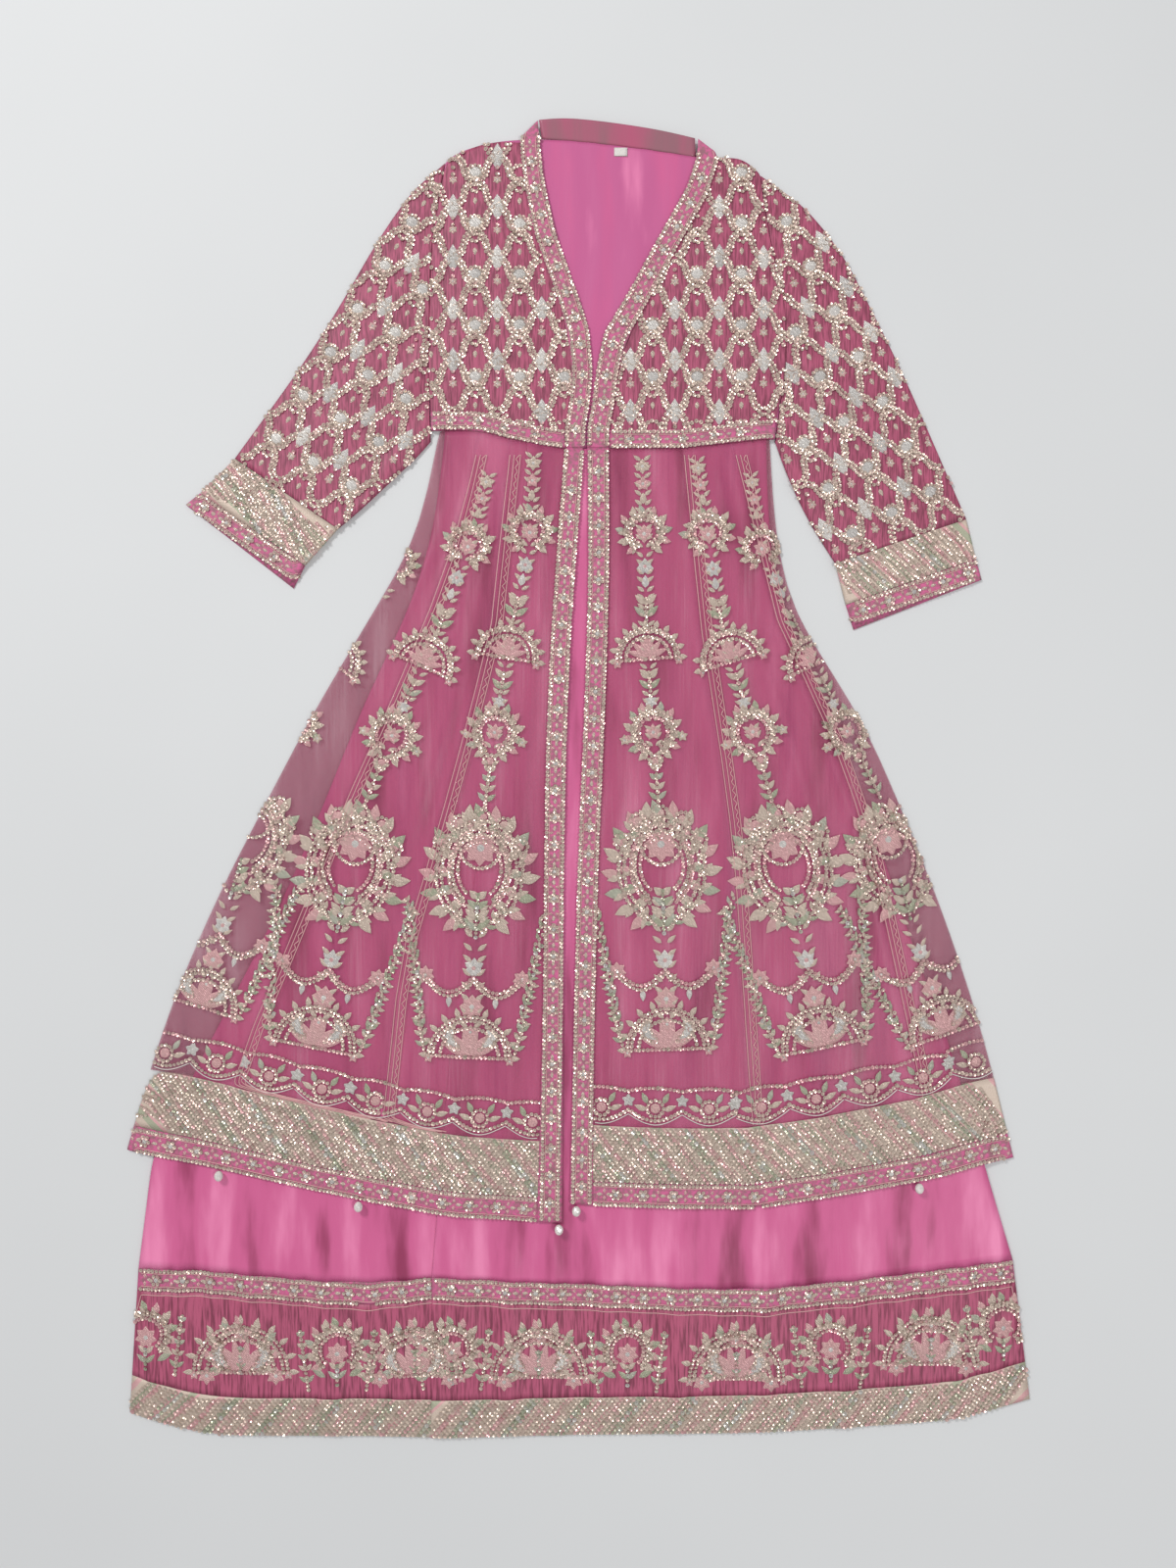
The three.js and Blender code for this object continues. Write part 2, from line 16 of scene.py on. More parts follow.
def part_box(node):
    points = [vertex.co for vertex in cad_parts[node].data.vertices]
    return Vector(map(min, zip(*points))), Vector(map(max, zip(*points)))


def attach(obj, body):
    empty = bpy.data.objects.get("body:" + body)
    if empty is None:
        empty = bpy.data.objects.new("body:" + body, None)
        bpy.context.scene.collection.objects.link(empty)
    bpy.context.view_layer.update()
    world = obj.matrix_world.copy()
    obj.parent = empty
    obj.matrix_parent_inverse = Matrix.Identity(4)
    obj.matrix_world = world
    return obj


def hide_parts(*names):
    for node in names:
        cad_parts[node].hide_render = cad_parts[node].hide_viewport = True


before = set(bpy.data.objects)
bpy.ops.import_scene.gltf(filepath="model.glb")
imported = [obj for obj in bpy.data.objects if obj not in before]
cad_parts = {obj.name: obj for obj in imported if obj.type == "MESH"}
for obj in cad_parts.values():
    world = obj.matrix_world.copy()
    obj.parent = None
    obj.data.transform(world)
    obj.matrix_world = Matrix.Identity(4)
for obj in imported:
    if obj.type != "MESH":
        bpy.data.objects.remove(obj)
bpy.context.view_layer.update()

MM = 0.001
RANDOM = random.Random(7)

# ---- camera ----

CAMERA_HEIGHT = 1.226          # above the cloth, looking straight down
CAMERA_CENTRE = (0.010, -0.006)
VIEW_HEIGHT = 1.632            # what the long side of the picture covers on the cloth
SENSOR = 24.0


def make_camera():
    data = bpy.data.cameras.new("camera")
    data.sensor_fit = "VERTICAL"
    data.sensor_height = SENSOR
    data.lens = SENSOR * CAMERA_HEIGHT / VIEW_HEIGHT
    data.clip_end = 50
    camera = bpy.data.objects.new("camera", data)
    camera.location = (CAMERA_CENTRE[0], CAMERA_CENTRE[1], CAMERA_HEIGHT)
    bpy.context.scene.collection.objects.link(camera)
    bpy.context.scene.camera = camera


make_camera()

# ---- colours, linear ----

COLOURS = {
    "satin": (0.640, 0.120, 0.290),
    # The next two colours are a painted shade and a painted highlight of the satin, for the light on its
    # folds.
    "satin_painted_shade": (0.300, 0.036, 0.105),
    "satin_painted_highlight": (0.860, 0.250, 0.460),
    "lining": (0.560, 0.120, 0.290),
    "net": (0.470, 0.095, 0.180),
    "net_light": (0.640, 0.300, 0.380),
    # The next colour is a painted shade, for the shadows between the embroidery on the bodice and border
    # net.
    "rose_painted_shade": (0.200, 0.036, 0.070),
    "champagne": (0.640, 0.520, 0.430),
    # The next colour is a painted shade of champagne, for the shade under the sequins on the thread bed.
    "champagne_painted_shade": (0.250, 0.170, 0.130),
    "pale_pink": (0.700, 0.400, 0.400),
    "sage": (0.420, 0.430, 0.310),
    "silver": (0.600, 0.570, 0.540),
    "white": (0.800, 0.760, 0.710),
    "mauve": (0.300, 0.130, 0.160),
}

# ---- node helpers ----


class Tree:
    """Builds a node tree: each call adds a node, sets its inputs by name, and returns it."""

    def __init__(self, tree):
        self.tree = tree

    def add(self, kind, inputs=None, **settings):
        node = self.tree.nodes.new(kind)
        for key, value in settings.items():
            setattr(node, key, value)
        for key, value in (inputs or {}).items():
            socket = node.inputs[key]
            if isinstance(value, bpy.types.NodeSocket):
                self.tree.links.new(value, socket)
            elif isinstance(value, bpy.types.Node):
                self.tree.links.new(value.outputs[0], socket)
            else:
                socket.default_value = value
        return node


def new_material(name):
    material = bpy.data.materials.new(name)
    material.use_nodes = True
    material.node_tree.nodes.clear()
    return material, Tree(material.node_tree)


def finish_material(material, tree, inputs):
    """Ends the tree in a Principled shader with these inputs, and gives the material back."""
    shader = tree.add("ShaderNodeBsdfPrincipled", inputs)
    tree.add("ShaderNodeOutputMaterial", {"Surface": shader.outputs[0]})
    return material


def rgba(name):
    return (*COLOURS[name], 1.0)


def ramp(tree, factor, stops, smooth=True):
    """A colour ramp from (place, colour name) stops."""
    node = tree.add("ShaderNodeValToRGB", {0: factor})
    elements = node.color_ramp.elements
    while len(elements) > 1:
        elements.remove(elements[-1])
    for i, (place, colour) in enumerate(stops):
        element = elements[0] if i == 0 else elements.new(place)
        element.position = place
        element.color = rgba(colour)
    node.color_ramp.interpolation = "EASE" if smooth else "CONSTANT"
    return node.outputs["Color"]


def stretched_noise(tree, scale, detail=3.0, turn=0.0):
    """Noise on Object coordinates, stretched by a scale for each axis, in cells per metre."""
    coords = tree.add("ShaderNodeTexCoord")
    mapping = tree.add(
        "ShaderNodeMapping",
        {"Vector": coords.outputs["Object"], "Scale": scale, "Rotation": (0, 0, turn)},
    )
    noise = tree.add("ShaderNodeTexNoise", {"Vector": mapping, "Scale": 1.0, "Detail": detail})
    return noise.outputs[0]


def bump(tree, height, strength, distance, under=None):
    inputs = {"Height": height, "Strength": strength, "Distance": distance}
    if under is not None:
        inputs["Normal"] = under
    return tree.add("ShaderNodeBump", inputs).outputs[0]


# ---- materials ----


def satin_material(name, stops, crinkle, roughness, sheen=0.3):
    """Satin with fine crinkles along the grain, and soft changes of painted shade and painted highlight in
    its colour, for the light on its folds.
    """
    material, tree = new_material(name)
    # Large soft noise that runs the colour ramp from painted shade to painted highlight.
    shade = stretched_noise(tree, (26, 5, 10), 4)
    streaks = stretched_noise(tree, (420, 26, 40), 5)
    crumple = stretched_noise(tree, (55, 15, 20), 3)
    normal = bump(tree, streaks, crinkle, 0.5 * MM)
    normal = bump(tree, crumple, 0.6 * crinkle, 2.2 * MM, normal)
    return finish_material(material, tree, {
        "Base Color": ramp(tree, shade, stops),
        "Roughness": roughness,
        "Sheen Weight": sheen,
        "Sheen Roughness": 0.4,
        "Sheen Tint": rgba("satin_painted_highlight"),
        "Normal": normal,
    })


def net_material(name, alpha, stops, rib=0.35):
    """Sheer net with fine ribs down the cloth, and soft patches of painted shade in its colour. It shows
    what lies under it.
    """
    material, tree = new_material(name)
    ribs = stretched_noise(tree, (900, 14, 30), 2)
    shade = stretched_noise(tree, (30, 4, 8), 3)
    tint = tree.add("ShaderNodeMix", {"Factor": 0.35, "A": shade, "B": ribs})
    return finish_material(material, tree, {
        "Base Color": ramp(tree, tint.outputs[0], stops),
        "Roughness": 0.6,
        "Alpha": alpha,
        "Sheen Weight": 0.2,
        "Normal": bump(tree, ribs, rib, 0.3 * MM),
    })


def tone_colour(tree, dark=False):
    """Colour of a sequin or thread from its tone: champagne, pink, sage, then silver white. With dark, the
    ramp starts from a painted shade of champagne.
    """
    tone = tree.add("ShaderNodeAttribute", attribute_name="tone").outputs["Fac"]
    first = "champagne_painted_shade" if dark else "champagne"
    stops = [
        (0.0, first), (0.34, "champagne"), (0.5, "pale_pink"), (0.7, "sage"), (0.85, "silver"),
        (1.0, "white"),
    ]
    return ramp(tree, tone, stops)


def sequin_material():
    """Cupped metallic sequins, each with its own tone and a little tarnish."""
    material, tree = new_material("sequin")
    wear = stretched_noise(tree, (350, 350, 350), 2)
    rough = tree.add(
        "ShaderNodeMapRange",
        {"Value": wear, "From Min": 0.3, "From Max": 0.7, "To Min": 0.18, "To Max": 0.42},
    )
    return finish_material(material, tree, {
        "Base Color": tone_colour(tree),
        "Metallic": 0.7,
        "Roughness": rough.outputs[0],
    })


def thread_material():
    """The matt bed of thread that the sequins are sewn on, whose darkest tone is a painted shade of
    champagne.
    """
    material, tree = new_material("thread_bed")
    strands = stretched_noise(tree, (900, 900, 300), 2)
    return finish_material(material, tree, {
        "Base Color": tone_colour(tree, dark=True),
        "Metallic": 0.25,
        "Roughness": 0.55,
        "Normal": bump(tree, strands, 0.7, 0.5 * MM),
    })


def pad_material():
    """Satin stitch in the pad's own tone, in short strands that cross it."""
    material, tree = new_material("satin_stitch")
    coords = tree.add("ShaderNodeTexCoord")
    strands = tree.add(
        "ShaderNodeTexWave",
        {
            "Vector": coords.outputs["Object"],
            "Scale": 260.0,
            "Distortion": 6.0,
            "Detail": 2.0,
            "Detail Scale": 1.5,
        },
        bands_direction="DIAGONAL",
    )
    return finish_material(material, tree, {
        "Base Color": tone_colour(tree),
        "Metallic": 0.35,
        "Roughness": 0.4,
        "Normal": bump(tree, strands.outputs["Fac"], 0.9, 0.5 * MM),
    })


def striped_material(name, lean, period, stops):
    """Band cloth with slanting thread stripes. lean is 1 for a stripe that falls to the right."""
    material, tree = new_material(name)
    coords = tree.add("ShaderNodeTexCoord")
    split = tree.add("ShaderNodeSeparateXYZ", {"Vector": coords.outputs["Object"]})
    leaning = tree.add("ShaderNodeMath", {0: split.outputs["Y"], 1: lean}, operation="MULTIPLY")
    across = tree.add("ShaderNodeMath", {0: split.outputs["X"], 1: leaning}, operation="ADD")
    wobble = stretched_noise(tree, (40, 40, 10), 2)
    wobbled = tree.add("ShaderNodeMath", {0: wobble, 1: 0.004, 2: across}, operation="MULTIPLY_ADD")
    share = tree.add("ShaderNodeMath", {0: wobbled, 1: period}, operation="DIVIDE")
    wrapped = tree.add("ShaderNodeMath", {0: share}, operation="FRACT")
    strands = stretched_noise(tree, (700, 700, 200), 2)
    return finish_material(material, tree, {
        "Base Color": ramp(tree, wrapped, stops, smooth=False),
        "Metallic": 0.2,
        "Roughness": 0.5,
        "Normal": bump(tree, strands, 0.8, 0.6 * MM),
    })


def plain_cloth_material(name, stops, roughness, scale=(300, 300, 100), strength=0.4):
    material, tree = new_material(name)
    weave = stretched_noise(tree, scale, 3)
    return finish_material(material, tree, {
        "Base Color": ramp(tree, weave, stops),
        "Roughness": roughness,
        "Normal": bump(tree, weave, strength, 0.4 * MM),
    })


def pearl_material():
    material, tree = new_material("pearl")
    shade = stretched_noise(tree, (240, 240, 240), 2)
    return finish_material(material, tree, {
        "Base Color": ramp(tree, shade, [(0.3, "silver"), (0.7, "white")]),
        "Roughness": 0.22,
        "Coat Weight": 0.6,
        "Coat Roughness": 0.08,
    })


STRIPE_PERIOD = 52 * MM
STRIPE_STOPS = [
    (0.00, "champagne"), (0.20, "pale_pink"), (0.34, "champagne"), (0.55, "sage"),
    (0.72, "pale_pink"), (0.80, "champagne"),
]
# The satin's stops run from a painted shade through its own pink to a painted highlight.
SATIN_STOPS = [(0.28, "satin_painted_shade"), (0.5, "satin"), (0.74, "satin_painted_highlight")]

MATERIALS = {
    "satin": satin_material("satin", SATIN_STOPS, 0.55, 0.38),
    # The lining's mottle runs up to the satin's painted highlight: painted sheen.
    "lining": satin_material(
        "lining", [(0.25, "satin"), (0.55, "lining"), (0.8, "satin_painted_highlight")], 0.15, 0.3),
    # The net's darkest stop is the satin's painted shade.
    "net": net_material("net", 0.24, [(0.3, "satin_painted_shade"), (0.5, "net"), (0.72, "net_light")]),
    # The bodice and border grounds run from a dark painted shade, for the shadows the net and its
    # embroidery cast on the lining, to the net colour.
    "bodice": plain_cloth_material(
        "bodice_net", [(0.3, "rose_painted_shade"), (0.68, "net")], 0.55, (700, 60, 100), 0.3),
    "border_ground": plain_cloth_material(
        "border_net", [(0.3, "rose_painted_shade"), (0.62, "net")], 0.5, (500, 40, 100), 0.3),
    "band_ground": plain_cloth_material("band_ground", [(0.3, "mauve"), (0.7, "satin")], 0.6),
    # The collar satin's ramp over soft noise is painted shade, as on the other satins.
    "rose_painted_shade": satin_material("collar_satin", [(0.3, "mauve"), (0.7, "net")], 0.2, 0.34),
    "stripe": striped_material("stripe_band", 1.0, STRIPE_PERIOD, STRIPE_STOPS),
    "stripe_inner": striped_material("stripe_band_inner", -1.0, STRIPE_PERIOD, STRIPE_STOPS),
    "sequin": sequin_material(),
    "thread": thread_material(),
    "pad": pad_material(),
    "white": plain_cloth_material("label_weave", [(0.3, "white"), (0.7, "silver")], 0.8, (1200, 1200, 300)),
    "pearl": pearl_material(),
}

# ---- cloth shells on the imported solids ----


def link(name, mesh):
    obj = bpy.data.objects.new(name, mesh)
    bpy.context.scene.collection.objects.link(obj)
    return obj


def apply_modifiers(obj):
    """Turns the object with its modifiers into one plain mesh."""
    graph = bpy.context.evaluated_depsgraph_get()
    mesh = bpy.data.meshes.new_from_object(obj.evaluated_get(graph), depsgraph=graph)
    obj.modifiers.clear()
    old = obj.data
    obj.data = mesh
    bpy.data.meshes.remove(old)


def top_faces(node):
    """The upper side of a packed wall, as a bmesh of quads."""
    bm = bmesh.new()
    bm.from_mesh(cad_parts[node].data)
    bmesh.ops.remove_doubles(bm, verts=bm.verts, dist=0.02 * MM)
    bm.normal_update()
    hidden = [face for face in bm.faces if face.normal.z < 0.3]
    bmesh.ops.delete(bm, geom=hidden, context="FACES")
    bmesh.ops.join_triangles(
        bm, faces=bm.faces, angle_face_threshold=math.pi, angle_shape_threshold=math.pi
    )
    return bm


OUTLINES = {}


def outline(node):
    """The border segments of a packed wall from above: an array of x0, y0, x1, y1."""
    if node not in OUTLINES:
        bm = top_faces(node)
        OUTLINES[node] = np.array(
            [[*edge.verts[0].co.xy, *edge.verts[1].co.xy] for edge in bm.edges if edge.is_boundary]
        )
        bm.free()
    return OUTLINES[node]


def crossings(node, value, axis):
    """Lowest and highest place where a line at y = value (axis 1) or x = value (axis 0) cuts it."""
    segments = outline(node)
    a, b = segments[:, axis], segments[:, 2 + axis]
    other_a, other_b = segments[:, 1 - axis], segments[:, 3 - axis]
    low, high = min(a.min(), b.min()), max(a.max(), b.max())
    value = min(max(value, low + 0.1 * MM), high - 0.1 * MM)
    hit = (np.minimum(a, b) <= value) & (np.maximum(a, b) >= value) & (np.abs(a - b) > 1e-9)
    t = (value - a[hit]) / (b[hit] - a[hit])
    found = other_a[hit] + t * (other_b[hit] - other_a[hit])
    return found.min(), found.max()


LINE_SAMPLES = 90
LINES = {}


def line_x(line, y):
    """Where a seam or edge lies across at y. line is (node, 0 for its left side or 1)."""
    if line not in LINES:
        low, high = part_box(line[0])
        ys = np.linspace(low.y, high.y, LINE_SAMPLES)
        LINES[line] = ys, np.array([crossings(line[0], at, 1)[line[1]] for at in ys])
    ys, xs = LINES[line]
    return np.interp(y, ys, xs)


EDGE_L = ("skirt_left_side", 0)
SEAM_A = ("skirt_left_middle", 0)
SEAM_B = ("skirt_left_centre", 0)
BAND_L = ("front_band_left", 0)
BAND_R = ("front_band_right", 1)
SEAM_C = ("skirt_right_middle", 0)
SEAM_D = ("skirt_right_side", 0)
EDGE_R = ("skirt_right_side", 1)

WAIST_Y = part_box("skirt_right_centre")[1].y
HEM_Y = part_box("hem_trim_left")[0].y


def between(first, second, share, y):
    return line_x(first, y) * (1 - share) + line_x(second, y) * share


# Folds of the skirt: the two lines it runs between, its share across at the waist and the hem,
# how far down it starts and ends as a share, its height and its half width in mm.
SKIRT_CREASES = [
    (EDGE_L, SEAM_A, 0.55, 0.60, 0.05, 1.00, 2.4, 9),
    (SEAM_A, SEAM_B, 0.05, 0.10, 0.00, 0.92, 3.0, 6),
    (SEAM_A, SEAM_B, 0.80, 0.72, 0.02, 0.55, 3.2, 8),
    (SEAM_A, SEAM_B, 0.92, 0.86, 0.35, 1.00, -1.8, 9),
    (SEAM_B, BAND_L, 0.04, 0.05, 0.00, 0.80, 3.4, 6),
    (SEAM_B, BAND_L, 0.26, 0.22, 0.05, 0.50, -2.0, 8),
    (SEAM_B, BAND_L, 0.80, 0.76, 0.00, 0.65, 2.6, 9),
    (SEAM_B, BAND_L, 0.62, 0.60, 0.45, 1.00, -1.8, 10),
    (BAND_R, SEAM_C, 0.14, 0.10, 0.00, 0.70, 2.4, 8),
    (BAND_R, SEAM_C, 0.80, 0.74, 0.03, 0.60, -2.2, 10),
    (BAND_R, SEAM_C, 0.97, 0.96, 0.00, 1.00, 3.2, 6),
    (SEAM_C, SEAM_D, 0.22, 0.12, 0.25, 0.95, -2.0, 9),
    (SEAM_C, SEAM_D, 0.66, 0.60, 0.00, 0.60, 3.4, 9),
    (SEAM_C, SEAM_D, 0.95, 0.96, 0.00, 0.90, 2.8, 6),
    (SEAM_D, EDGE_R, 0.40, 0.45, 0.10, 1.00, 2.4, 8),
    (SEAM_C, SEAM_D, 0.45, 0.40, 0.55, 1.00, 2.2, 12),
]

GATHERS = 9              # on each side of the front opening
GATHER_STEP = 0.11       # as a share of the way across
GATHER_WIDTH = 4.5       # half width, mm


def add_gathers():
    """Short uneven gathers under the waist trim, on both sides of the front opening."""
    for i in range(GATHERS):
        place = GATHER_STEP * i
        SKIRT_CREASES.append((
            SEAM_A, BAND_L, 0.06 + place, 0.05 + place, 0.0, 0.10 + 0.05 * (i % 3),
            1.5 + 0.4 * (i % 2), GATHER_WIDTH))
        SKIRT_CREASES.append((
            BAND_R, SEAM_D, 0.08 + place, 0.09 + place, 0.0, 0.09 + 0.05 * (i % 3),
            1.4 + 0.5 * (i % 2), GATHER_WIDTH))


add_gathers()

# Folds of the inner skirt below the outer hem: place across at the trim, lean, height, half width
# in mm, and how far down they reach as a share of the way to the hem.
INNER_CREASES = [
    (-440, -14, 2.2, 7, 0.95), (-412, 10, 3.2, 9, 0.70), (-380, -8, 2.0, 8, 0.60),
    (-338, 16, 3.6, 11, 0.80), (-300, -12, 2.6, 8, 0.50), (-262, 14, 3.4, 12, 1.00),
    (-215, 6, 2.4, 9, 0.55), (-182, -10, 3.0, 8, 0.90), (-116, 12, 2.8, 10, 0.60),
    (-72, -6, 3.6, 12, 0.95), (-24, 8, 2.4, 8, 0.50), (28, -12, 3.0, 11, 0.85),
    (66, 5, 2.0, 7, 0.50), (104, -8, 3.4, 12, 0.95), (150, 8, 2.6, 9, 0.60),
    (196, -10, 3.2, 10, 0.90), (236, 6, 2.2, 8, 0.45), (282, -12, 3.6, 12, 1.00),
    (330, -8, 2.8, 9, 0.65), (366, 10, 2.4, 8, 0.55), (398, -12, 3.2, 9, 0.95),
    (432, -8, 2.2, 7, 0.80),
]


def smooth(t):
    t = np.clip(t, 0, 1)
    return t * t * (3 - 2 * t)


def skirt_relief(x, y, share):
    """Height of the skirt's folds. share is 1 on the net and less on the layers under it."""
    v = (WAIST_Y - y) / (WAIST_Y - HEM_Y)
    height = np.zeros_like(x)
    for first, second, top, bottom, start, end, rise, width in SKIRT_CREASES:
        ridge = between(first, second, top + (bottom - top) * np.clip(v, 0, 1), y)
        shape = np.exp(-(((x - ridge) / (width * MM * (0.7 + 0.6 * v))) ** 2))
        reach = smooth((v - start) / 0.10) * smooth((end - v) / 0.12)
        height += rise * MM * shape * reach
    edge = np.minimum(x - line_x(EDGE_L, y), line_x(EDGE_R, y) - x)
    return height * share * smooth(edge / (14 * MM) + 0.2) * smooth(v / 0.03)


def inner_relief(x, y):
    """Height of the folds of the inner skirt where it shows below the outer hem."""
    top = HEM_Y - 2 * MM
    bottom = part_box("inner_stripe_front_right")[0].y
    down = (top - y) / (top - bottom)
    height = np.zeros_like(x)
    for place, lean, rise, width, reach in INNER_CREASES:
        ridge = (place + lean * (down - 0.5)) * MM
        shape = np.exp(-(((x - ridge) / (width * MM)) ** 2))
        height += rise * MM * shape * smooth(down / 0.25) * smooth((reach - down) / 0.3 + 0.35)
    return height


def bodice_relief(x, y):
    """Soft pulls of the bodice, from the armholes to the bust."""
    pulls = [(-118, 560, 34, 20, 2.2), (-60, 470, 42, 16, 1.8), (150, 545, 34, 20, 2.2),
             (100, 455, 40, 16, 1.8), (180, 420, 20, 44, 2.0), (-135, 400, 16, 44, 1.6)]
    height = np.zeros_like(x)
    for px, py, wx, wy, rise in pulls:
        spread = ((x / MM - px) / wx) ** 2 + ((y / MM - py) / wy) ** 2
        height += rise * MM * np.exp(-spread)
    return height


def sleeve_relief(x, y):
    """Creases across the sleeves, at the elbow and under the arm."""
    bends = [(-190, 330, 0.9, 70, 9, 2.6), (-232, 268, 0.75, 62, 8, 2.2), (-285, 222, 0.6, 60, 8, 2.0),
             (-170, 420, 1.25, 60, 8, 2.2), (232, 300, -0.5, 60, 9, 2.6), (268, 222, -0.35, 66, 8, 2.4),
             (300, 150, -0.3, 62, 9, 2.2), (250, 420, -0.9, 60, 9, 2.2), (330, 210, 1.0, 50, 9, 1.8)]
    height = np.zeros_like(x)
    for px, py, turn, length, width, rise in bends:
        along = (x / MM - px) * math.cos(turn) + (y / MM - py) * math.sin(turn)
        across = -(x / MM - px) * math.sin(turn) + (y / MM - py) * math.cos(turn)
        height += rise * MM * np.exp(-((along / length) ** 2) - (across / width) ** 2)
    return height


def back_lining_relief(x, y):
    """Vertical ripples of the satin that shows in the neck."""
    ripples = [(-8, 1.4, 9), (18, 2.0, 8), (44, 1.2, 10), (66, 1.8, 8), (92, 1.4, 9)]
    height = np.zeros_like(x)
    for place, rise, width in ripples:
        wander = 6 * np.sin(y / (38 * MM) + place)
        height += rise * MM * 0.5 * np.exp(-(((x / MM - place - wander) / width) ** 2))
    return height


def cloth(node, material, levels=2, thickness=0.5, relief=None):
    """A thin shell on a packed wall's upper side, with folds, that stands for the wall.
    """
    bm = top_faces(node)
    mesh = bpy.data.meshes.new(node + "_cloth")
    bm.to_mesh(mesh)
    bm.free()
    obj = link(node + "_cloth", mesh)
    soften = obj.modifiers.new("soften", "SUBSURF")
    soften.levels = levels
    soften.render_levels = levels
    soften.boundary_smooth = "PRESERVE_CORNERS"
    apply_modifiers(obj)
    count = len(obj.data.vertices)
    points = np.zeros(count * 3)
    obj.data.vertices.foreach_get("co", points)
    points = points.reshape(-1, 3)
    if relief is not None:
        points[:, 2] += relief(points[:, 0], points[:, 1])
    obj.data.vertices.foreach_set("co", points.ravel())
    for polygon in obj.data.polygons:
        polygon.use_smooth = True
    wall = obj.modifiers.new("wall", "SOLIDIFY")
    wall.thickness = thickness * MM
    wall.offset = -1
    apply_modifiers(obj)
    obj.data.materials.clear()
    obj.data.materials.append(MATERIALS[material])
    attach(obj, "root")
    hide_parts(node)
    return obj


def net_relief(x, y):
    return skirt_relief(x, y, 1.0)


def inner_front_relief(x, y):
    return skirt_relief(x, y, 0.62) + inner_relief(x, y)


def inner_back_relief(x, y):
    return skirt_relief(x, y, 0.3)


# Gores of the skirt: node, and the width and length of the cut in mm.
GORES = [
    ("skirt_left_side", 185, 760), ("skirt_left_middle", 180, 760), ("skirt_left_centre", 212, 730),
    ("skirt_right_centre", 186, 706), ("skirt_right_middle", 196, 712), ("skirt_right_side", 92, 720),
]
CLOTH = {}


def make_cloth():
    under = {
        "back": ("bodice", "net", (372, 322)),
        "skirt_back": ("net", "net", (910, 760)),
        "hem_stripe_back": ("stripe", "stripe_band", (930, 60)),
        "hem_trim_back": ("band_ground", "sequin_trim", (940, 26)),
        "sleeve_left_under": ("bodice", "net", (290, 340)),
        "sleeve_right_under": ("bodice", "net", (280, 420)),
        "cuff_stripe_left_under": ("stripe", "stripe_band", (134, 52)),
        "cuff_stripe_right_under": ("stripe", "stripe_band", (146, 44)),
        "cuff_trim_left_under": ("band_ground", "sequin_trim", (140, 24)),
        "cuff_trim_right_under": ("band_ground", "sequin_trim", (142, 26)),
    }
    for node, (material, slot, cut) in under.items():
        CLOTH[node] = cloth(node, material, levels=1)
    CLOTH["back_lining"] = cloth(
        "back_lining", "lining", 3, relief=back_lining_relief)
    CLOTH["inner_back"] = cloth(
        "inner_back", "satin", 1, relief=inner_back_relief)
    for name, material, slot, depth in (
            ("trim", "band_ground", "sequin_trim", 24), ("border", "border_ground", "net", 100),
            ("stripe", "stripe_inner", "stripe_band", 40)):
        node = f"inner_{name}_back"
        CLOTH[node] = cloth(node, material, 1)
        for side, width in (("front_left", 342), ("front_right", 625)):
            node = f"inner_{name}_{side}"
            CLOTH[node] = cloth(
                node, material, 3, relief=inner_front_relief)
    for side, width in (("front_left", 345), ("front_right", 610)):
        node = f"inner_{side}"
        CLOTH[node] = cloth(
            node, "satin", 3, relief=inner_front_relief)
    for node, width, length in GORES:
        CLOTH[node] = cloth(node, "net", 3, 0.3, net_relief)
    for side, width in (("left", 455), ("right", 462)):
        CLOTH[f"hem_stripe_{side}"] = cloth(
            f"hem_stripe_{side}", "stripe", 3, relief=net_relief)
        CLOTH[f"hem_trim_{side}"] = cloth(
            f"hem_trim_{side}", "band_ground", 3, relief=net_relief)
        CLOTH[f"front_band_{side}"] = cloth(
            f"front_band_{side}", "band_ground",
            3, 0.6, net_relief)
        CLOTH[f"front_{side}"] = cloth(
            f"front_{side}", "bodice", 3, relief=bodice_relief)
        CLOTH[f"waist_trim_{side}"] = cloth(
            f"waist_trim_{side}", "band_ground", 3, 0.6,
            bodice_relief)
        CLOTH[f"neck_band_{side}"] = cloth(
            f"neck_band_{side}", "band_ground", 3, 0.6,
            bodice_relief)
        CLOTH[f"sleeve_{side}"] = cloth(
            f"sleeve_{side}_upper", "bodice", 3, relief=sleeve_relief)
        CLOTH[f"cuff_stripe_{side}"] = cloth(
            f"cuff_stripe_{side}_upper", "stripe", 3,
            relief=sleeve_relief)
        CLOTH[f"cuff_trim_{side}"] = cloth(
            f"cuff_trim_{side}_upper", "band_ground", 3,
            relief=sleeve_relief)
    CLOTH["collar"] = cloth("collar", "rose_painted_shade", 3)
    CLOTH["size_label"] = cloth("size_label", "white", 2)


make_cloth()

# ---- embroidery: drawn flat, then laid on the cloth ----


def surface_tree():
    """One search tree over all cloth shells, and the piece that owns each face."""
    verts, faces, owners = [], [], []
    for name, obj in CLOTH.items():
        start = len(verts)
        verts.extend(vert.co.copy() for vert in obj.data.vertices)
        for polygon in obj.data.polygons:
            if polygon.normal.z > 0.05:
                faces.append([start + i for i in polygon.vertices])
                owners.append(name)
    return BVHTree.FromPolygons(verts, faces), owners


SURFACE, OWNERS = surface_tree()
DOWN = Vector((0, 0, -1))


def drop(x, y):
    """Place, normal and piece under a point, or None off the cloth."""
    place, normal, index, _ = SURFACE.ray_cast(Vector((x, y, 0.2)), DOWN)
    if place is None:
        return None
    return place, normal, OWNERS[index]


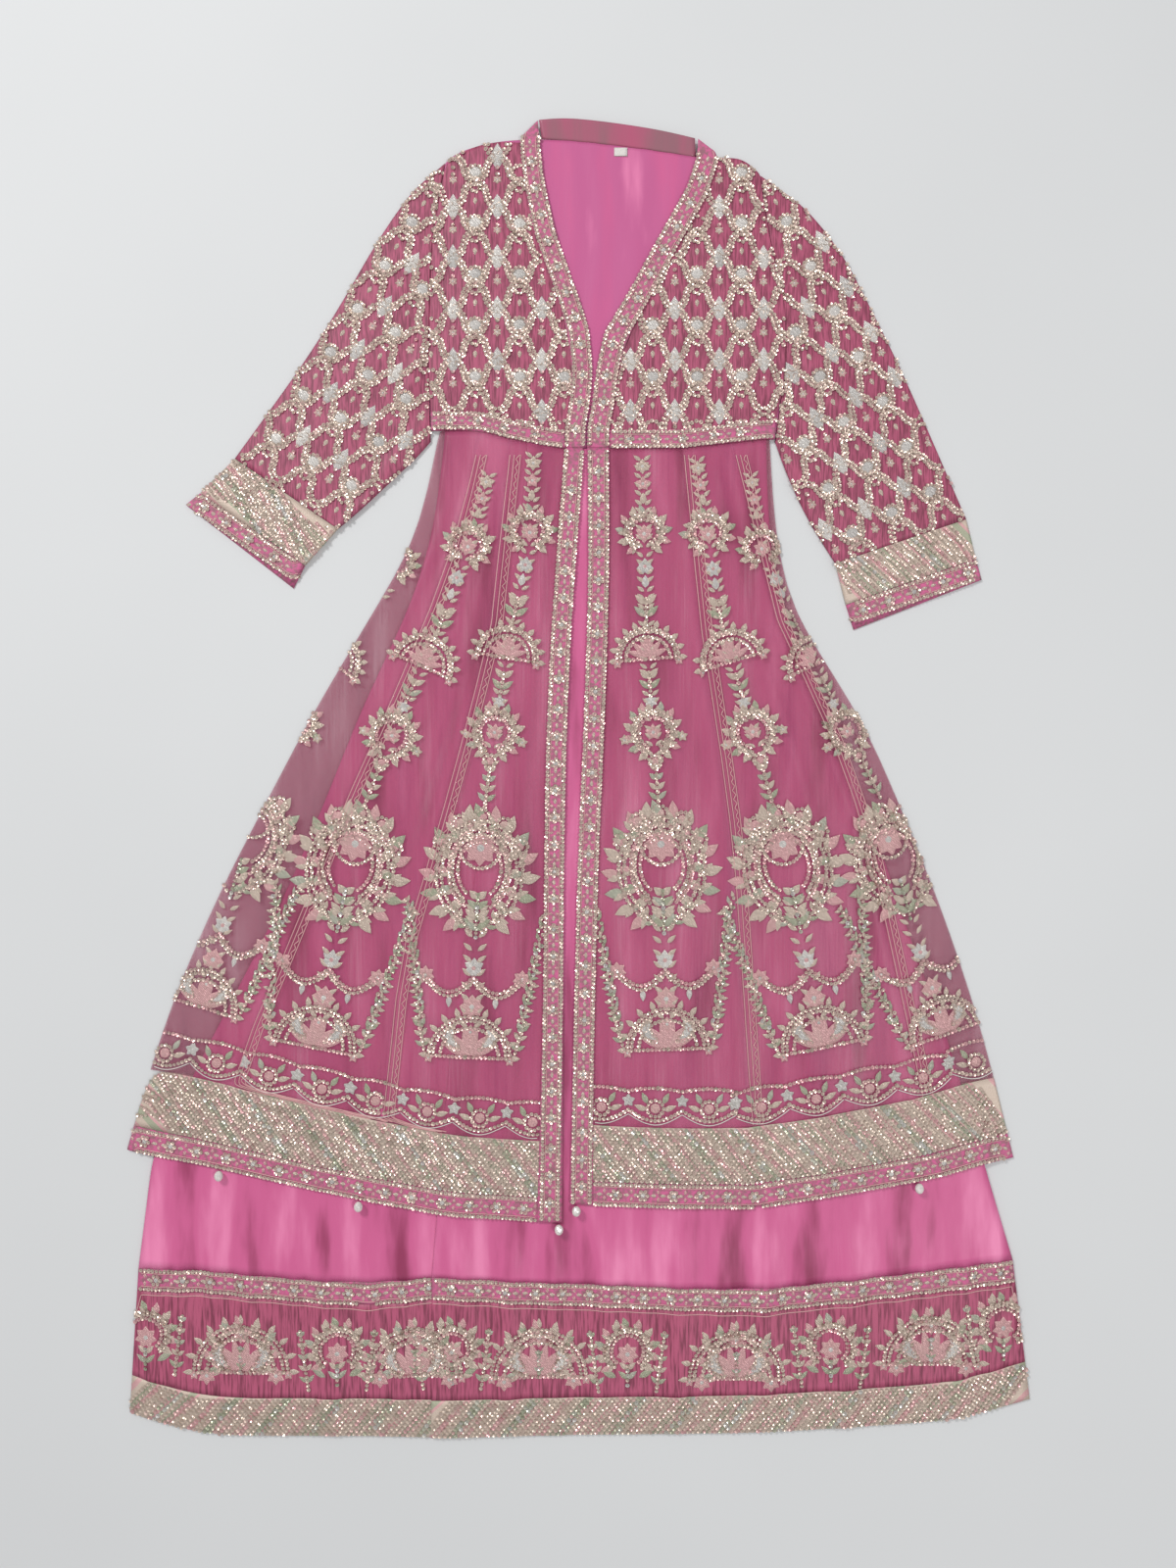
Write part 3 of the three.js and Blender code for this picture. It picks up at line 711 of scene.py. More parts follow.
# What is drawn, by the name of its group. Rows and cords hold (points with normals, tone), and
# pads hold (outline, tone, height). A tone runs from dark champagne at 0, which on the thread bed
# is a painted shade, through champagne 0.34, pink 0.5, sage 0.7 and silver 0.85 to white at 1.
ROWS = {}
CORDS = {}
PADS = {}
STEP = 3.0    # between the points of a drawn line, mm


def spaced(points, step=STEP):
    """The same line with evenly spaced points, all in mm."""
    points = np.asarray(points, dtype=float)
    gaps = np.hypot(*np.diff(points, axis=0).T)
    along = np.concatenate([[0], np.cumsum(gaps)])
    if along[-1] < 0.5 * step:
        return points[:1]
    places = np.linspace(0, along[-1], max(2, int(round(along[-1] / step)) + 1))
    return np.stack([np.interp(places, along, points[:, i]) for i in (0, 1)], axis=1)


def lay(store, group, points, tone, only=None, lift=0.3):
    """Lays a line (mm) on the cloth and keeps the stretches that are on the wanted pieces."""
    stretch = []
    for x, y in spaced(points):
        hit = drop(x * MM, y * MM)
        if hit is None or (only and not hit[2].startswith(only)):
            if len(stretch) > 1:
                store.setdefault(group, []).append((stretch, tone))
            stretch = []
            continue
        stretch.append((hit[0] + hit[1] * lift * MM, hit[1]))
    if len(stretch) > 1:
        store.setdefault(group, []).append((stretch, tone))


class Pen:
    """Draws motifs in a turned local frame: u across, v along the turned axis, in mm."""

    def __init__(self, group, x, y, turn=0.0, size=1.0, only=None):
        self.group, self.x, self.y, self.only = group, x, y, only
        self.c, self.s, self.size = math.cos(turn), math.sin(turn), size

    def world(self, points):
        points = np.asarray(points, dtype=float) * self.size
        x = self.x + points[:, 0] * self.c - points[:, 1] * self.s
        y = self.y + points[:, 0] * self.s + points[:, 1] * self.c
        return np.stack([x, y], axis=1)

    def row(self, points, tone=0.3):
        lay(ROWS, self.group, self.world(points), tone, self.only, 0.5)

    def cord(self, points, tone=0.45):
        lay(CORDS, self.group, self.world(points), tone, self.only, 0.35)

    def pad(self, points, tone=0.45, height=0.8):
        place = self.world(points)
        hits = [drop(*(point * MM)) for point in place]
        if all(hit and (not self.only or hit[2].startswith(self.only)) for hit in hits):
            PADS.setdefault(self.group, []).append((place, tone, height))

    def ring(self, u, v, radius, tone=0.3, start=0.0, end=360.0, squash=1.0):
        a = np.radians(np.linspace(start, end, 25))
        self.row(np.stack([u + radius * np.cos(a), v + squash * radius * np.sin(a)], axis=1), tone)

    def dot(self, u, v, radius, tone=0.6, sides=9, squash=1.0):
        a = np.linspace(0, 2 * math.pi, sides, endpoint=False)
        self.pad(np.stack([u + radius * np.cos(a), v + squash * radius * np.sin(a)], axis=1), tone)

    def drop_shape(self, u, v, angle, length, width, tone=0.45, filled=True, outlined=False):
        """A petal or leaf from its root (u, v) towards angle, in degrees from +u."""
        t = np.linspace(0, 1, 7)
        side = width * 0.5 * np.sin(math.pi * t ** 0.8)
        shape = np.concatenate([np.stack([t * length, side], 1), np.stack([t * length, -side], 1)[-2:0:-1]])
        a = math.radians(angle)
        turned = np.stack([
            u + shape[:, 0] * math.cos(a) - shape[:, 1] * math.sin(a),
            v + shape[:, 0] * math.sin(a) + shape[:, 1] * math.cos(a)], axis=1)
        if filled:
            self.pad(turned, tone)
        if outlined:
            self.row(np.concatenate([turned, turned[:1]]), tone)

    def floret(self, u, v, radius, petals=5, tone=0.45, heart=0.9, turn=90.0):
        for i in range(petals):
            angle = turn + 360.0 * i / petals
            self.drop_shape(u, v, angle, radius, radius * 0.7, tone)
        self.dot(u, v, radius * 0.3, heart, 7)

    def rosette(self, u, v, radius, tone=0.9, rim=0.3):
        self.ring(u, v, radius, rim)
        self.dot(u, v, radius * 0.62, tone)

    def sprig(self, u, v, angle, length, pairs=3, tone=0.3, leaf=9.0):
        a = math.radians(angle)
        self.row([(u, v), (u + length * math.cos(a), v + length * math.sin(a))], tone)
        for i in range(pairs):
            t = length * (i + 0.6) / pairs
            for side in (-48, 48):
                self.drop_shape(
                    u + t * math.cos(a), v + t * math.sin(a), angle + side, leaf * (1 - 0.12 * i),
                    leaf * 0.42, 0.3 if (i % 2) else 0.72)

    def paisley(self, u, v, side, length, tone=0.9):
        t = np.linspace(0, 1, 9)
        bend = side * length * 0.42 * np.sin(math.pi * t * 0.9)
        width = length * 0.27 * np.sin(math.pi * (0.12 + 0.86 * t)) * (1.15 - t * 0.7)
        left = np.stack([u + bend - width, v + t * length], 1)
        right = np.stack([u + bend + width, v + t * length], 1)[::-1]
        shape = np.concatenate([left, right])
        self.pad(shape, tone, 1.0)
        self.row(np.concatenate([shape, shape[:1]]), 0.3)

    def wreath(self, u, v, width, height, gap=40.0, tone=0.3, spikes=11):
        """Curved leaves round an open middle, open at the bottom by gap degrees."""
        for k, tint in ((0.80, tone), (0.70, 0.26), (0.56, 0.5)):
            a = np.radians(np.linspace(-90 + gap, 270 - gap, 33))
            self.row(np.stack([u + k * width / 2 * np.cos(a), v + k * height / 2 * np.sin(a)], 1), tint)
        for i in range(spikes):
            a = -90 + gap + (360 - 2 * gap) * i / (spikes - 1)
            x = u + 0.78 * width / 2 * math.cos(math.radians(a))
            y = v + 0.78 * height / 2 * math.sin(math.radians(a))
            lean = a + (22 if math.cos(math.radians(a)) > 0 else -22)
            self.drop_shape(x, y, lean, width * 0.15 + 4, width * 0.07 + 3, (0.3, 0.5, 0.72)[i % 3])
            self.drop_shape(x, y, lean + 32, width * 0.10 + 3, width * 0.05 + 2.4, 0.3)
            self.ring(x, y, 2.6, 0.28)

    def fan(self, u, v, width, tone=0.3):
        """A half dome on a flat foot, with a flower in its middle."""
        for angle in range(0, 181, 18):
            x, y = math.cos(math.radians(angle)), math.sin(math.radians(angle))
            self.drop_shape(u + x * width * 0.5, v + y * width * 0.5, angle, width * 0.08 + 4, 6, 0.3)
        for k in (1.0, 0.9, 0.72):
            a = np.radians(np.linspace(0, 180, 19))
            self.row(np.stack([u + k * width / 2 * np.cos(a), v + k * width / 2 * np.sin(a)], 1), tone)
        self.row([(u - width / 2, v), (u + width / 2, v)], 0.5)
        for angle in range(20, 161, 28):
            self.drop_shape(u, v + 2, angle, width * 0.36, width * 0.11, 0.5 if angle % 56 else 0.9)
        for side in (-1, 1):
            self.floret(u + side * width * 0.5, v - 3, 5.5, 5, 0.5)


# ---- trims and stripe bands ----


def middle_line(node, upright):
    """Middle line and half width of a band, in mm. upright bands run down, others across."""
    low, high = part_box(node)
    axis = 1 if upright else 0
    places = np.linspace(low[axis] + 4 * MM, high[axis] - 4 * MM, 60)
    pairs = np.array([crossings(node, at, axis) for at in places])
    middle = pairs.mean(axis=1)
    half = (pairs[:, 1] - pairs[:, 0]) / 2
    line = np.stack([middle, places] if upright else [places, middle], axis=1) / MM
    return line, half / MM


ROSETTE_STEP = 28.5


def trim(node, group, upright, owner):
    """A sequin trim: rows on both edges, silver rosettes, and small florets between them."""
    line, half = middle_line(node, upright)
    line = spaced(line, 4.0)
    tangent = np.gradient(line, axis=0)
    tangent /= np.hypot(*tangent.T)[:, None]
    normal = np.stack([-tangent[:, 1], tangent[:, 0]], axis=1)
    width = float(np.median(half)) * (abs(tangent[:, 1]).mean() if upright else abs(tangent[:, 0]).mean())
    for side in (-1, 1):
        lay(ROWS, group, line + normal * side * (width - 1.9), 0.28, owner, 0.5)
        lay(CORDS, group, line + normal * side * (width - 4.6), 0.5, owner, 0.35)
    length = 4.0 * (len(line) - 1)
    count = int(length / ROSETTE_STEP)
    for i in range(count * 2 + 1):
        at = min(len(line) - 1, int((i + 0.3) * ROSETTE_STEP / 2 / 4.0))
        turn = math.atan2(tangent[at][1], tangent[at][0])
        pen = Pen(group, *line[at], turn, min(1.0, width / 11), owner)
        if i % 2:
            pen.rosette(0, 0, 4.6)
        else:
            for side in (-1, 1):
                pen.drop_shape(side * 2.0, 0, 90 - side * 90, 6.5, 3.6, 0.3)
                pen.drop_shape(0, side * 1.5, side * 90, 5.0, 3.4, 0.5)


def stripes(node, group, lean, owner, step=5.2):
    """Rows of sequins on the slant, in the colours of the stripes."""
    line, half = middle_line(node, False)
    xs = np.arange(line[0, 0] + 2, line[-1, 0] - 2, step)
    for i, x in enumerate(xs):
        y = np.interp(x, line[:, 0], line[:, 1])
        rise = np.interp(x, line[:, 0], half) - 2.2
        tone = (0.25, 0.28, 0.5, 0.3, 0.3, 0.68, 0.72, 0.3, 0.5, 0.3)[i % 10]
        slant = lean * rise * 0.8
        foot = np.interp(x + slant, line[:, 0], line[:, 1]) - rise
        top = np.interp(x - slant, line[:, 0], line[:, 1]) + rise
        lay(ROWS, group, [(x - slant, top), (x, y), (x + slant, foot)], tone, owner, 0.5)


def all_trims():
    for side in ("left", "right"):
        trim(f"front_band_{side}", "bands", True, f"front_band_{side}")
        trim(f"neck_band_{side}", "bands", True, f"neck_band_{side}")
        trim(f"waist_trim_{side}", "bands", False, f"waist_trim_{side}")
        trim(f"hem_trim_{side}", f"hem_{side}", False, f"hem_trim_{side}")
        trim(f"cuff_trim_{side}_upper", f"sleeve_{side}", False, f"cuff_trim_{side}")
        trim(f"inner_trim_front_{side}", "inner_hem", False, f"inner_trim_front_{side}")
        stripes(f"hem_stripe_{side}", f"hem_{side}", 1, f"hem_stripe_{side}")
        stripes(f"inner_stripe_front_{side}", "inner_hem", -1, f"inner_stripe_front_{side}", 5.6)
        stripes(f"cuff_stripe_{side}_upper", f"sleeve_{side}", 1, f"cuff_stripe_{side}", 5.6)


# ---- lattice of the bodice and sleeves ----

CELL = (46, 53)
DIAMOND = [(0, 14), (5, 6), (9, 0), (5, -7), (0, -14), (-5, -7), (-9, 0), (-5, 6)]


def lattice(group, origin, turn, reach, only):
    """A net of wavy double rows with silver diamonds where they meet and dots in the cells."""
    wide, tall = CELL
    for i in range(-reach, reach + 1):
        for j in range(-reach, reach + 1):
            for half in (0, 1):
                u = (i + half / 2) * wide
                v = (j + half / 2) * tall
                x = origin[0] + u * math.cos(turn) - v * math.sin(turn)
                y = origin[1] + u * math.sin(turn) + v * math.cos(turn)
                pen = Pen(group, x, y, turn, 1.0, only)
                for side in (-1, 1):
                    t = np.linspace(0.10, 0.92, 12)
                    wave = 2.6 * np.sin(2 * math.pi * t)
                    for off in (-2.4, 2.4):
                        across = side * (t * wide / 2 + wave + off * 0.7)
                        along = t * tall / 2 - wave * 0.5 - off * 0.6
                        pen.row(np.stack([across, along], 1), 0.27)
                    pen.cord(np.stack([side * (t * wide / 2 + wave), t * tall / 2 - wave * 0.5], 1), 0.5)
                if half:
                    pen.dot(0, 9, 7.4, 0.9, 10)
                    pen.ring(0, 9, 8.2, 0.3)
                    pen.ring(0, -3.5, 5.4, 0.3, squash=1.35)
                    pen.drop_shape(0, -16, -90, 8, 4.5, 0.3)
                else:
                    pen.pad(DIAMOND, 0.92, 1.1)
                    pen.row([(0, -12), (0, -19)], 0.5)
                    pen.floret(0, -24, 5.0, 6, 0.4)


# ---- chains of motifs down the skirt ----

CHAINS = {
    "right_1": ([(66, 335), (71, 136), (85, -58), (92, -262)], "skirt_right_centre", 1.0),
    "right_2": ([(122, 335), (148, 157), (178, 55), (209, -58), (250, -262)], "skirt_right_", 1.0),
    "right_3": ([(178, 320), (189, 238), (265, 75), (306, -7), (347, -160), (377, -251)],
                "skirt_right_", 0.92),
    "left_1": ([(-46, 340), (-51, 238), (-71, 146), (-87, 44), (-100, -58), (-112, -272)],
               "skirt_left_", 1.0),
    "left_2": ([(-92, 320), (-107, 259), (-143, 157), (-184, 65), (-224, -37), (-245, -139), (-270, -262)],
               "skirt_left_", 1.0),
    "left_3": ([(-163, 299), (-199, 197), (-275, 95), (-326, -7), (-357, -109), (-388, -221)],
               "skirt_left_", 0.92),
}
CHAIN_LENGTH = 600.0


def chain(name):
    """Motifs that grow from small florets at the waist to a wide wreath and dome at the hem."""
    line, only, size = CHAINS[name]
    line = spaced(line, 2.0)
    tangent = np.gradient(line, axis=0)
    group = f"skirt_{name.split('_')[0]}"
    stretch = (len(line) - 1) * 2.0 / CHAIN_LENGTH

    def pen(at):
        i = min(len(line) - 1, int(at * stretch / 2.0))
        turn = math.atan2(tangent[i][1], tangent[i][0]) + math.pi / 2
        return Pen(group, *line[i], turn, size, only)

    for at in range(8, 330, 9):
        stem = pen(at)
        for side in (-1, 1):
            stem.drop_shape(side * 1.5, 0, 90 - side * 52, 9.5, 4.2, 0.3)
    for at in range(470, 600, 13):
        stem = pen(at)
        for side in (-1, 1):
            tone = 0.72 if at % 2 else 0.3
            stem.sprig(side * (66 - 0.16 * (at - 470)), -4, 90 - side * 36, 15, 2, tone, 9)
            stem.drop_shape(side * 3, 0, 90 - side * 50, 12, 5, 0.3)
    pen(14).floret(0, 0, 8, 6, 0.3)
    pen(32).floret(0, 0, 8, 5, 0.5)
    pen(48).drop_shape(0, -5, 90, 12, 7, 0.3)
    p = pen(82)
    p.wreath(0, 0, 50, 46, 30, 0.3, 11)
    p.floret(0, -2, 10, 6, 0.5)
    pen(118).floret(0, 0, 9, 7, 0.85, 0.5)
    pen(134).drop_shape(0, -6, 90, 13, 8, 0.9)
    p = pen(164)
    p.sprig(0, -14, 90, 26, 2, 0.3, 17)
    p = pen(206)
    p.fan(0, -8, 64)
    p.floret(0, 6, 9, 7, 0.5, 0.5)
    pen(240).sprig(0, -12, 90, 24, 2, 0.3, 15)
    pen(258).floret(0, 0, 7, 6, 0.9)
    p = pen(290)
    p.wreath(0, 0, 54, 56, 24, 0.3, 13)
    p.floret(0, 0, 9, 5, 0.5)
    for side in (-1, 1):
        p.floret(side * 30, -6, 6, 5, 0.3)
    p.rosette(0, -30, 6.5, 0.5)
    pen(346).sprig(0, -20, 90, 42, 4, 0.3, 13)
    p = pen(432)
    p.wreath(0, 0, 112, 136, 26, 0.3, 17)
    p.wreath(0, 4, 80, 104, 34, 0.5, 13)
    for i in range(5):
        a = math.radians(30 + 30 * i)
        p.rosette(46 * math.cos(a), 56 * math.sin(a) + 2, 8, 0.45)
    p.floret(0, 26, 19, 8, 0.5, 0.9)
    p.ring(0, 26, 21, 0.3)
    p.sprig(0, -66, 90, 44, 4, 0.72, 19)
    for side in (-1, 1):
        p.sprig(side * 6, -60, 90 - side * 42, 32, 3, 0.3, 12)
    pen(566).floret(0, 0, 13, 8, 0.5, 0.9)
    p = pen(540)
    p.floret(0, 14, 11, 6, 0.9, 0.5)
    for side in (-1, 1):
        t = np.linspace(0, 1, 14)
        for off in (0, 4.6):
            p.row(np.stack([side * t * 50, -16 * np.sin(math.pi * t) + off], 1), 0.3 + 0.04 * off)
        p.floret(side * 50, 4, 10, 7, 0.5)
        p.drop_shape(side * 24, -16, -90, 12, 6, 0.9)
    p = pen(596)
    p.fan(0, -22, 84)
    for side in (-1, 1):
        p.paisley(side * 13, -14, side, 24)
        p.sprig(side * 46, -20, 90 - side * 14, 34, 3, 0.3, 11)
    p.floret(0, 4, 8, 6, 0.5)


SCALLOP = 56.0


def hem_border(side):
    """Scallops with rosettes just above the stripe band, and a pale cord along them."""
    line, half = middle_line(f"hem_stripe_{side}", False)
    count = int(round((line[-1, 0] - line[0, 0]) / SCALLOP))
    width = (line[-1, 0] - line[0, 0]) / count
    for i in range(count):
        x = line[0, 0] + (i + 0.5) * width
        y = np.interp(x, line[:, 0], line[:, 1] + half) + 14
        slope = (np.interp(x + 9, line[:, 0], line[:, 1]) - np.interp(x - 9, line[:, 0], line[:, 1])) / 18
        pen = Pen(f"hem_{side}", x, y, math.atan(slope), 1.0, f"skirt_{side}_")
        t = np.linspace(-0.5, 0.5, 15)
        curve = -11 * np.cos(math.pi * t)
        pen.cord(np.stack([t * width, curve], 1), 0.95)
        pen.row(np.stack([t * width, curve + 4.4], 1), 0.3)
        pen.row(np.stack([t * width, 24 - curve * 0.3], 1), 0.5)
        pen.rosette(0, 6, 8.5, 0.5)
        for way in (-1, 1):
            pen.drop_shape(way * 9, 4, 90 - way * 68, 14, 6, 0.3)
            pen.drop_shape(way * 8, 11, 90 - way * 28, 13, 6, 0.72)
            pen.floret(way * width * 0.5, 14, 7, 5, 0.85)


INNER_DOMES = [-350, -170, -41, 164, 366]
INNER_CRESCENTS = [-449, -250, -131, 51, 262, 441]


def inner_border():
    """Domes and spiky crescents by turns along the hem of the inner skirt."""
    for places, big in ((INNER_DOMES, True), (INNER_CRESCENTS, False)):
        for x in places:
            node = "inner_border_front_right" if x > -150 else "inner_border_front_left"
            low, high = crossings(node, x * MM, 0)
            pen = Pen("inner_hem", x, (low + high) / 2 / MM, 0.0, 1.0, "inner_border")
            if big:
                pen.fan(0, -26, 98)
                pen.wreath(0, -6, 74, 66, 50, 0.5, 9)
                for side in (-1, 1):
                    pen.paisley(side * 14, -24, side, 30)
                    pen.floret(side * 36, -30, 10, 6, 0.5)
                pen.floret(0, 14, 10, 6, 0.5, 0.9)
                pen.sprig(0, -26, 90, 26, 3, 0.72, 9)
            else:
                pen.wreath(0, 2, 60, 58, 44, 0.3, 11)
                pen.floret(0, -2, 12, 7, 0.5, 0.9)
                pen.sprig(0, -34, 90, 20, 2, 0.72, 13)
                for side in (-1, 1):
                    pen.sprig(side * 30, -40, 90 - side * 8, 62, 5, 0.3, 11)
                for side in (-1, 1):
                    pen.drop_shape(side * 12, -26, 90 - side * 60, 18, 7, 0.72)
    for side in ("left", "right"):
        line, half = middle_line(f"inner_border_front_{side}", False)
        lay(CORDS, "inner_hem", np.stack([line[:, 0], line[:, 1] + half - 4], 1), 0.5, "inner_border", 0.4)


def seam_stitching():
    """Overlocked allowances of the skirt seams, seen through the net: threads and ladder stitches."""
    for seam, side in ((SEAM_A, "left"), (SEAM_B, "left"), (SEAM_C, "right"), (SEAM_D, "right")):
        ys = np.arange(HEM_Y + 95 * MM, WAIST_Y - 6 * MM, 4.4 * MM)
        xs = line_x(seam, ys)
        line = np.stack([xs, ys], axis=1) / MM
        for offset in (2.0, 6.5, 13.0):
            lay(CORDS, f"seams_{side}", line + (offset, 0), 0.5, f"skirt_{side}_", 0.3)
        zigzag = line + np.stack([8.5 + 3.6 * (np.arange(len(line)) % 2), np.zeros(len(line))], axis=1)
        lay(CORDS, f"seams_{side}", zigzag, 0.5, f"skirt_{side}_", 0.3)


SLEEVE_TURN = {"left": math.radians(-32), "right": math.radians(28)}


def draw_all():
    seam_stitching()
    all_trims()
    for name in CHAINS:
        chain(name)
    for side in ("left", "right"):
        hem_border(side)
    inner_border()
    lattice("bodice", (54, 486), 0.0, 6, "front_left")
    lattice("bodice", (54, 486), 0.0, 6, "front_right")
    lattice("sleeve_left", (-190, 420), SLEEVE_TURN["left"], 6, "sleeve_left")
    lattice("sleeve_right", (222, 420), SLEEVE_TURN["right"], 7, "sleeve_right")


draw_all()

# ---- sequins and cords by geometry nodes ----

SEQUIN_SPACING = 4.2 * MM
SEQUIN_RADIUS = 2.2 * MM
CORD_RADIUS = 0.55 * MM


def node_group(name, sockets):
    tree = bpy.data.node_groups.new(name, "GeometryNodeTree")
    for label, kind in [("Geometry", "NodeSocketGeometry")] + sockets:
        tree.interface.new_socket(label, in_out="INPUT", socket_type=kind)
    tree.interface.new_socket("Geometry", in_out="OUTPUT", socket_type="NodeSocketGeometry")
    return tree, Tree(tree)


def sequin_group():
    """Sets a cupped sequin on each step of the rows, square to the cloth with a little tilt."""
    group, tree = node_group("sequin_rows", [
        ("Spacing", "NodeSocketFloat"), ("Radius", "NodeSocketFloat"), ("Seed", "NodeSocketInt"),
        ("Material", "NodeSocketMaterial")])
    start = tree.add("NodeGroupInput").outputs
    curve = tree.add("GeometryNodeMeshToCurve", {"Mesh": start["Geometry"]})
    steps = tree.add(
        "GeometryNodeResampleCurve", {"Curve": curve, "Length": start["Spacing"]}, mode="LENGTH")
    cup = tree.add("GeometryNodeMeshCone", {
        "Vertices": 7, "Side Segments": 1, "Radius Top": start["Radius"], "Radius Bottom": 0.5 * MM,
        "Depth": 0.55 * MM}, fill_type="NONE")
    face_up = tree.add("GeometryNodeFlipFaces", {"Mesh": cup.outputs["Mesh"]})
    lie = tree.add("GeometryNodeInputNamedAttribute", {"Name": "lie"}, data_type="FLOAT_VECTOR")
    square = tree.add("FunctionNodeAlignRotationToVector", {"Vector": lie.outputs[0]}, axis="Z")
    tilt = tree.add("FunctionNodeRandomValue", {
        "Min": (-0.24, -0.24, -3.1), "Max": (0.24, 0.24, 3.1), "Seed": start["Seed"]},
        data_type="FLOAT_VECTOR")
    turned = tree.add("FunctionNodeRotateRotation", {"Rotation": square, "Rotate By": tilt.outputs[0]},
                      rotation_space="LOCAL")
    size = tree.add("FunctionNodeRandomValue", {"Seed": start["Seed"]}, data_type="FLOAT")
    size.inputs[2].default_value = 0.86
    size.inputs[3].default_value = 1.12
    placed = tree.add("GeometryNodeInstanceOnPoints", {
        "Points": steps, "Instance": face_up, "Rotation": turned, "Scale": size.outputs[1]})
    tone = tree.add("GeometryNodeInputNamedAttribute", {"Name": "tone"}, data_type="FLOAT")
    drift = tree.add("FunctionNodeRandomValue", {"Seed": start["Seed"]}, data_type="FLOAT")
    drift.inputs[2].default_value = -0.13
    drift.inputs[3].default_value = 0.13
    mixed = tree.add("ShaderNodeMath", {0: tone.outputs[0], 1: drift.outputs[1]}, operation="ADD")
    marked = tree.add("GeometryNodeStoreNamedAttribute", {
        "Geometry": placed, "Name": "tone", "Value": mixed}, data_type="FLOAT", domain="INSTANCE")
    real = tree.add("GeometryNodeRealizeInstances", {"Geometry": marked})
    painted = tree.add("GeometryNodeSetMaterial", {"Geometry": real, "Material": start["Material"]})
    tree.add("NodeGroupOutput", {0: painted})
    return group


def cord_group():
    """Runs a thin round thread along each line."""
    group, tree = node_group("cord", [("Radius", "NodeSocketFloat"), ("Material", "NodeSocketMaterial")])
    start = tree.add("NodeGroupInput").outputs
    curve = tree.add("GeometryNodeMeshToCurve", {"Mesh": start["Geometry"]})
    profile = tree.add("GeometryNodeCurvePrimitiveCircle", {"Resolution": 4, "Radius": start["Radius"]})
    tube = tree.add("GeometryNodeCurveToMesh", {
        "Curve": curve, "Profile Curve": profile, "Fill Caps": True})
    real = tree.add("GeometryNodeRealizeInstances", {"Geometry": tube})
    painted = tree.add("GeometryNodeSetMaterial", {"Geometry": real, "Material": start["Material"]})
    tree.add("NodeGroupOutput", {0: painted})
    return group


def lines_mesh(name, lines):
    """Edges for a list of laid lines, with the cloth's normal and the tone on each point."""
    points, edges, normals, tones = [], [], [], []
    for stretch, tone in lines:
        start = len(points)
        for place, normal in stretch:
            points.append(place)
            normals.extend(normal)
            tones.append(tone)
        edges.extend((i, i + 1) for i in range(start, len(points) - 1))
    mesh = bpy.data.meshes.new(name)
    mesh.from_pydata(points, edges, [])
    mesh.attributes.new("lie", "FLOAT_VECTOR", "POINT").data.foreach_set("vector", normals)
    mesh.attributes.new("tone", "FLOAT", "POINT").data.foreach_set("value", tones)
    return mesh


def with_nodes(name, mesh, group, values):
    obj = link(name, mesh)
    modifier = obj.modifiers.new("nodes", "NODES")
    modifier.node_group = group
    for item in group.interface.items_tree:
        if item.name in values:
            modifier[item.identifier] = values[item.name]
    apply_modifiers(obj)
    return obj


def pads_mesh(name, pads):
    """Low domes of stitching on their outlines, laid on the cloth."""
    verts, faces, tones = [], [], []
    for outline_points, tone, height in pads:
        middle = outline_points.mean(axis=0)
        start = len(verts)
        count = len(outline_points)
        for share, rise in ((1.0, 0.1), (0.72, 0.8)):
            for point in middle + (outline_points - middle) * share:
                hit = drop(*(point * MM)) or drop(*(middle * MM))
                verts.append((point[0] * MM, point[1] * MM, hit[0].z + rise * height * MM))
        hit = drop(*(middle * MM))
        verts.append((middle[0] * MM, middle[1] * MM, hit[0].z + height * MM))
        area = sum(a[0] * b[1] - b[0] * a[1] for a, b in zip(
            outline_points - middle, np.roll(outline_points - middle, -1, axis=0)))
        for i in range(count):
            j = (i + 1) % count
            ring = [(start + i, start + j, start + count + j, start + count + i),
                    (start + count + i, start + count + j, start + 2 * count)]
            faces.extend(ring if area > 0 else [face[::-1] for face in ring])
        tones.extend([tone + RANDOM.uniform(-0.05, 0.05)] * (2 * count + 1))
    mesh = bpy.data.meshes.new(name)
    mesh.from_pydata(verts, [], faces)
    mesh.attributes.new("tone", "FLOAT", "POINT").data.foreach_set("value", tones)
    for polygon in mesh.polygons:
        polygon.use_smooth = True
    return mesh


def settle(obj):
    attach(obj, "root")


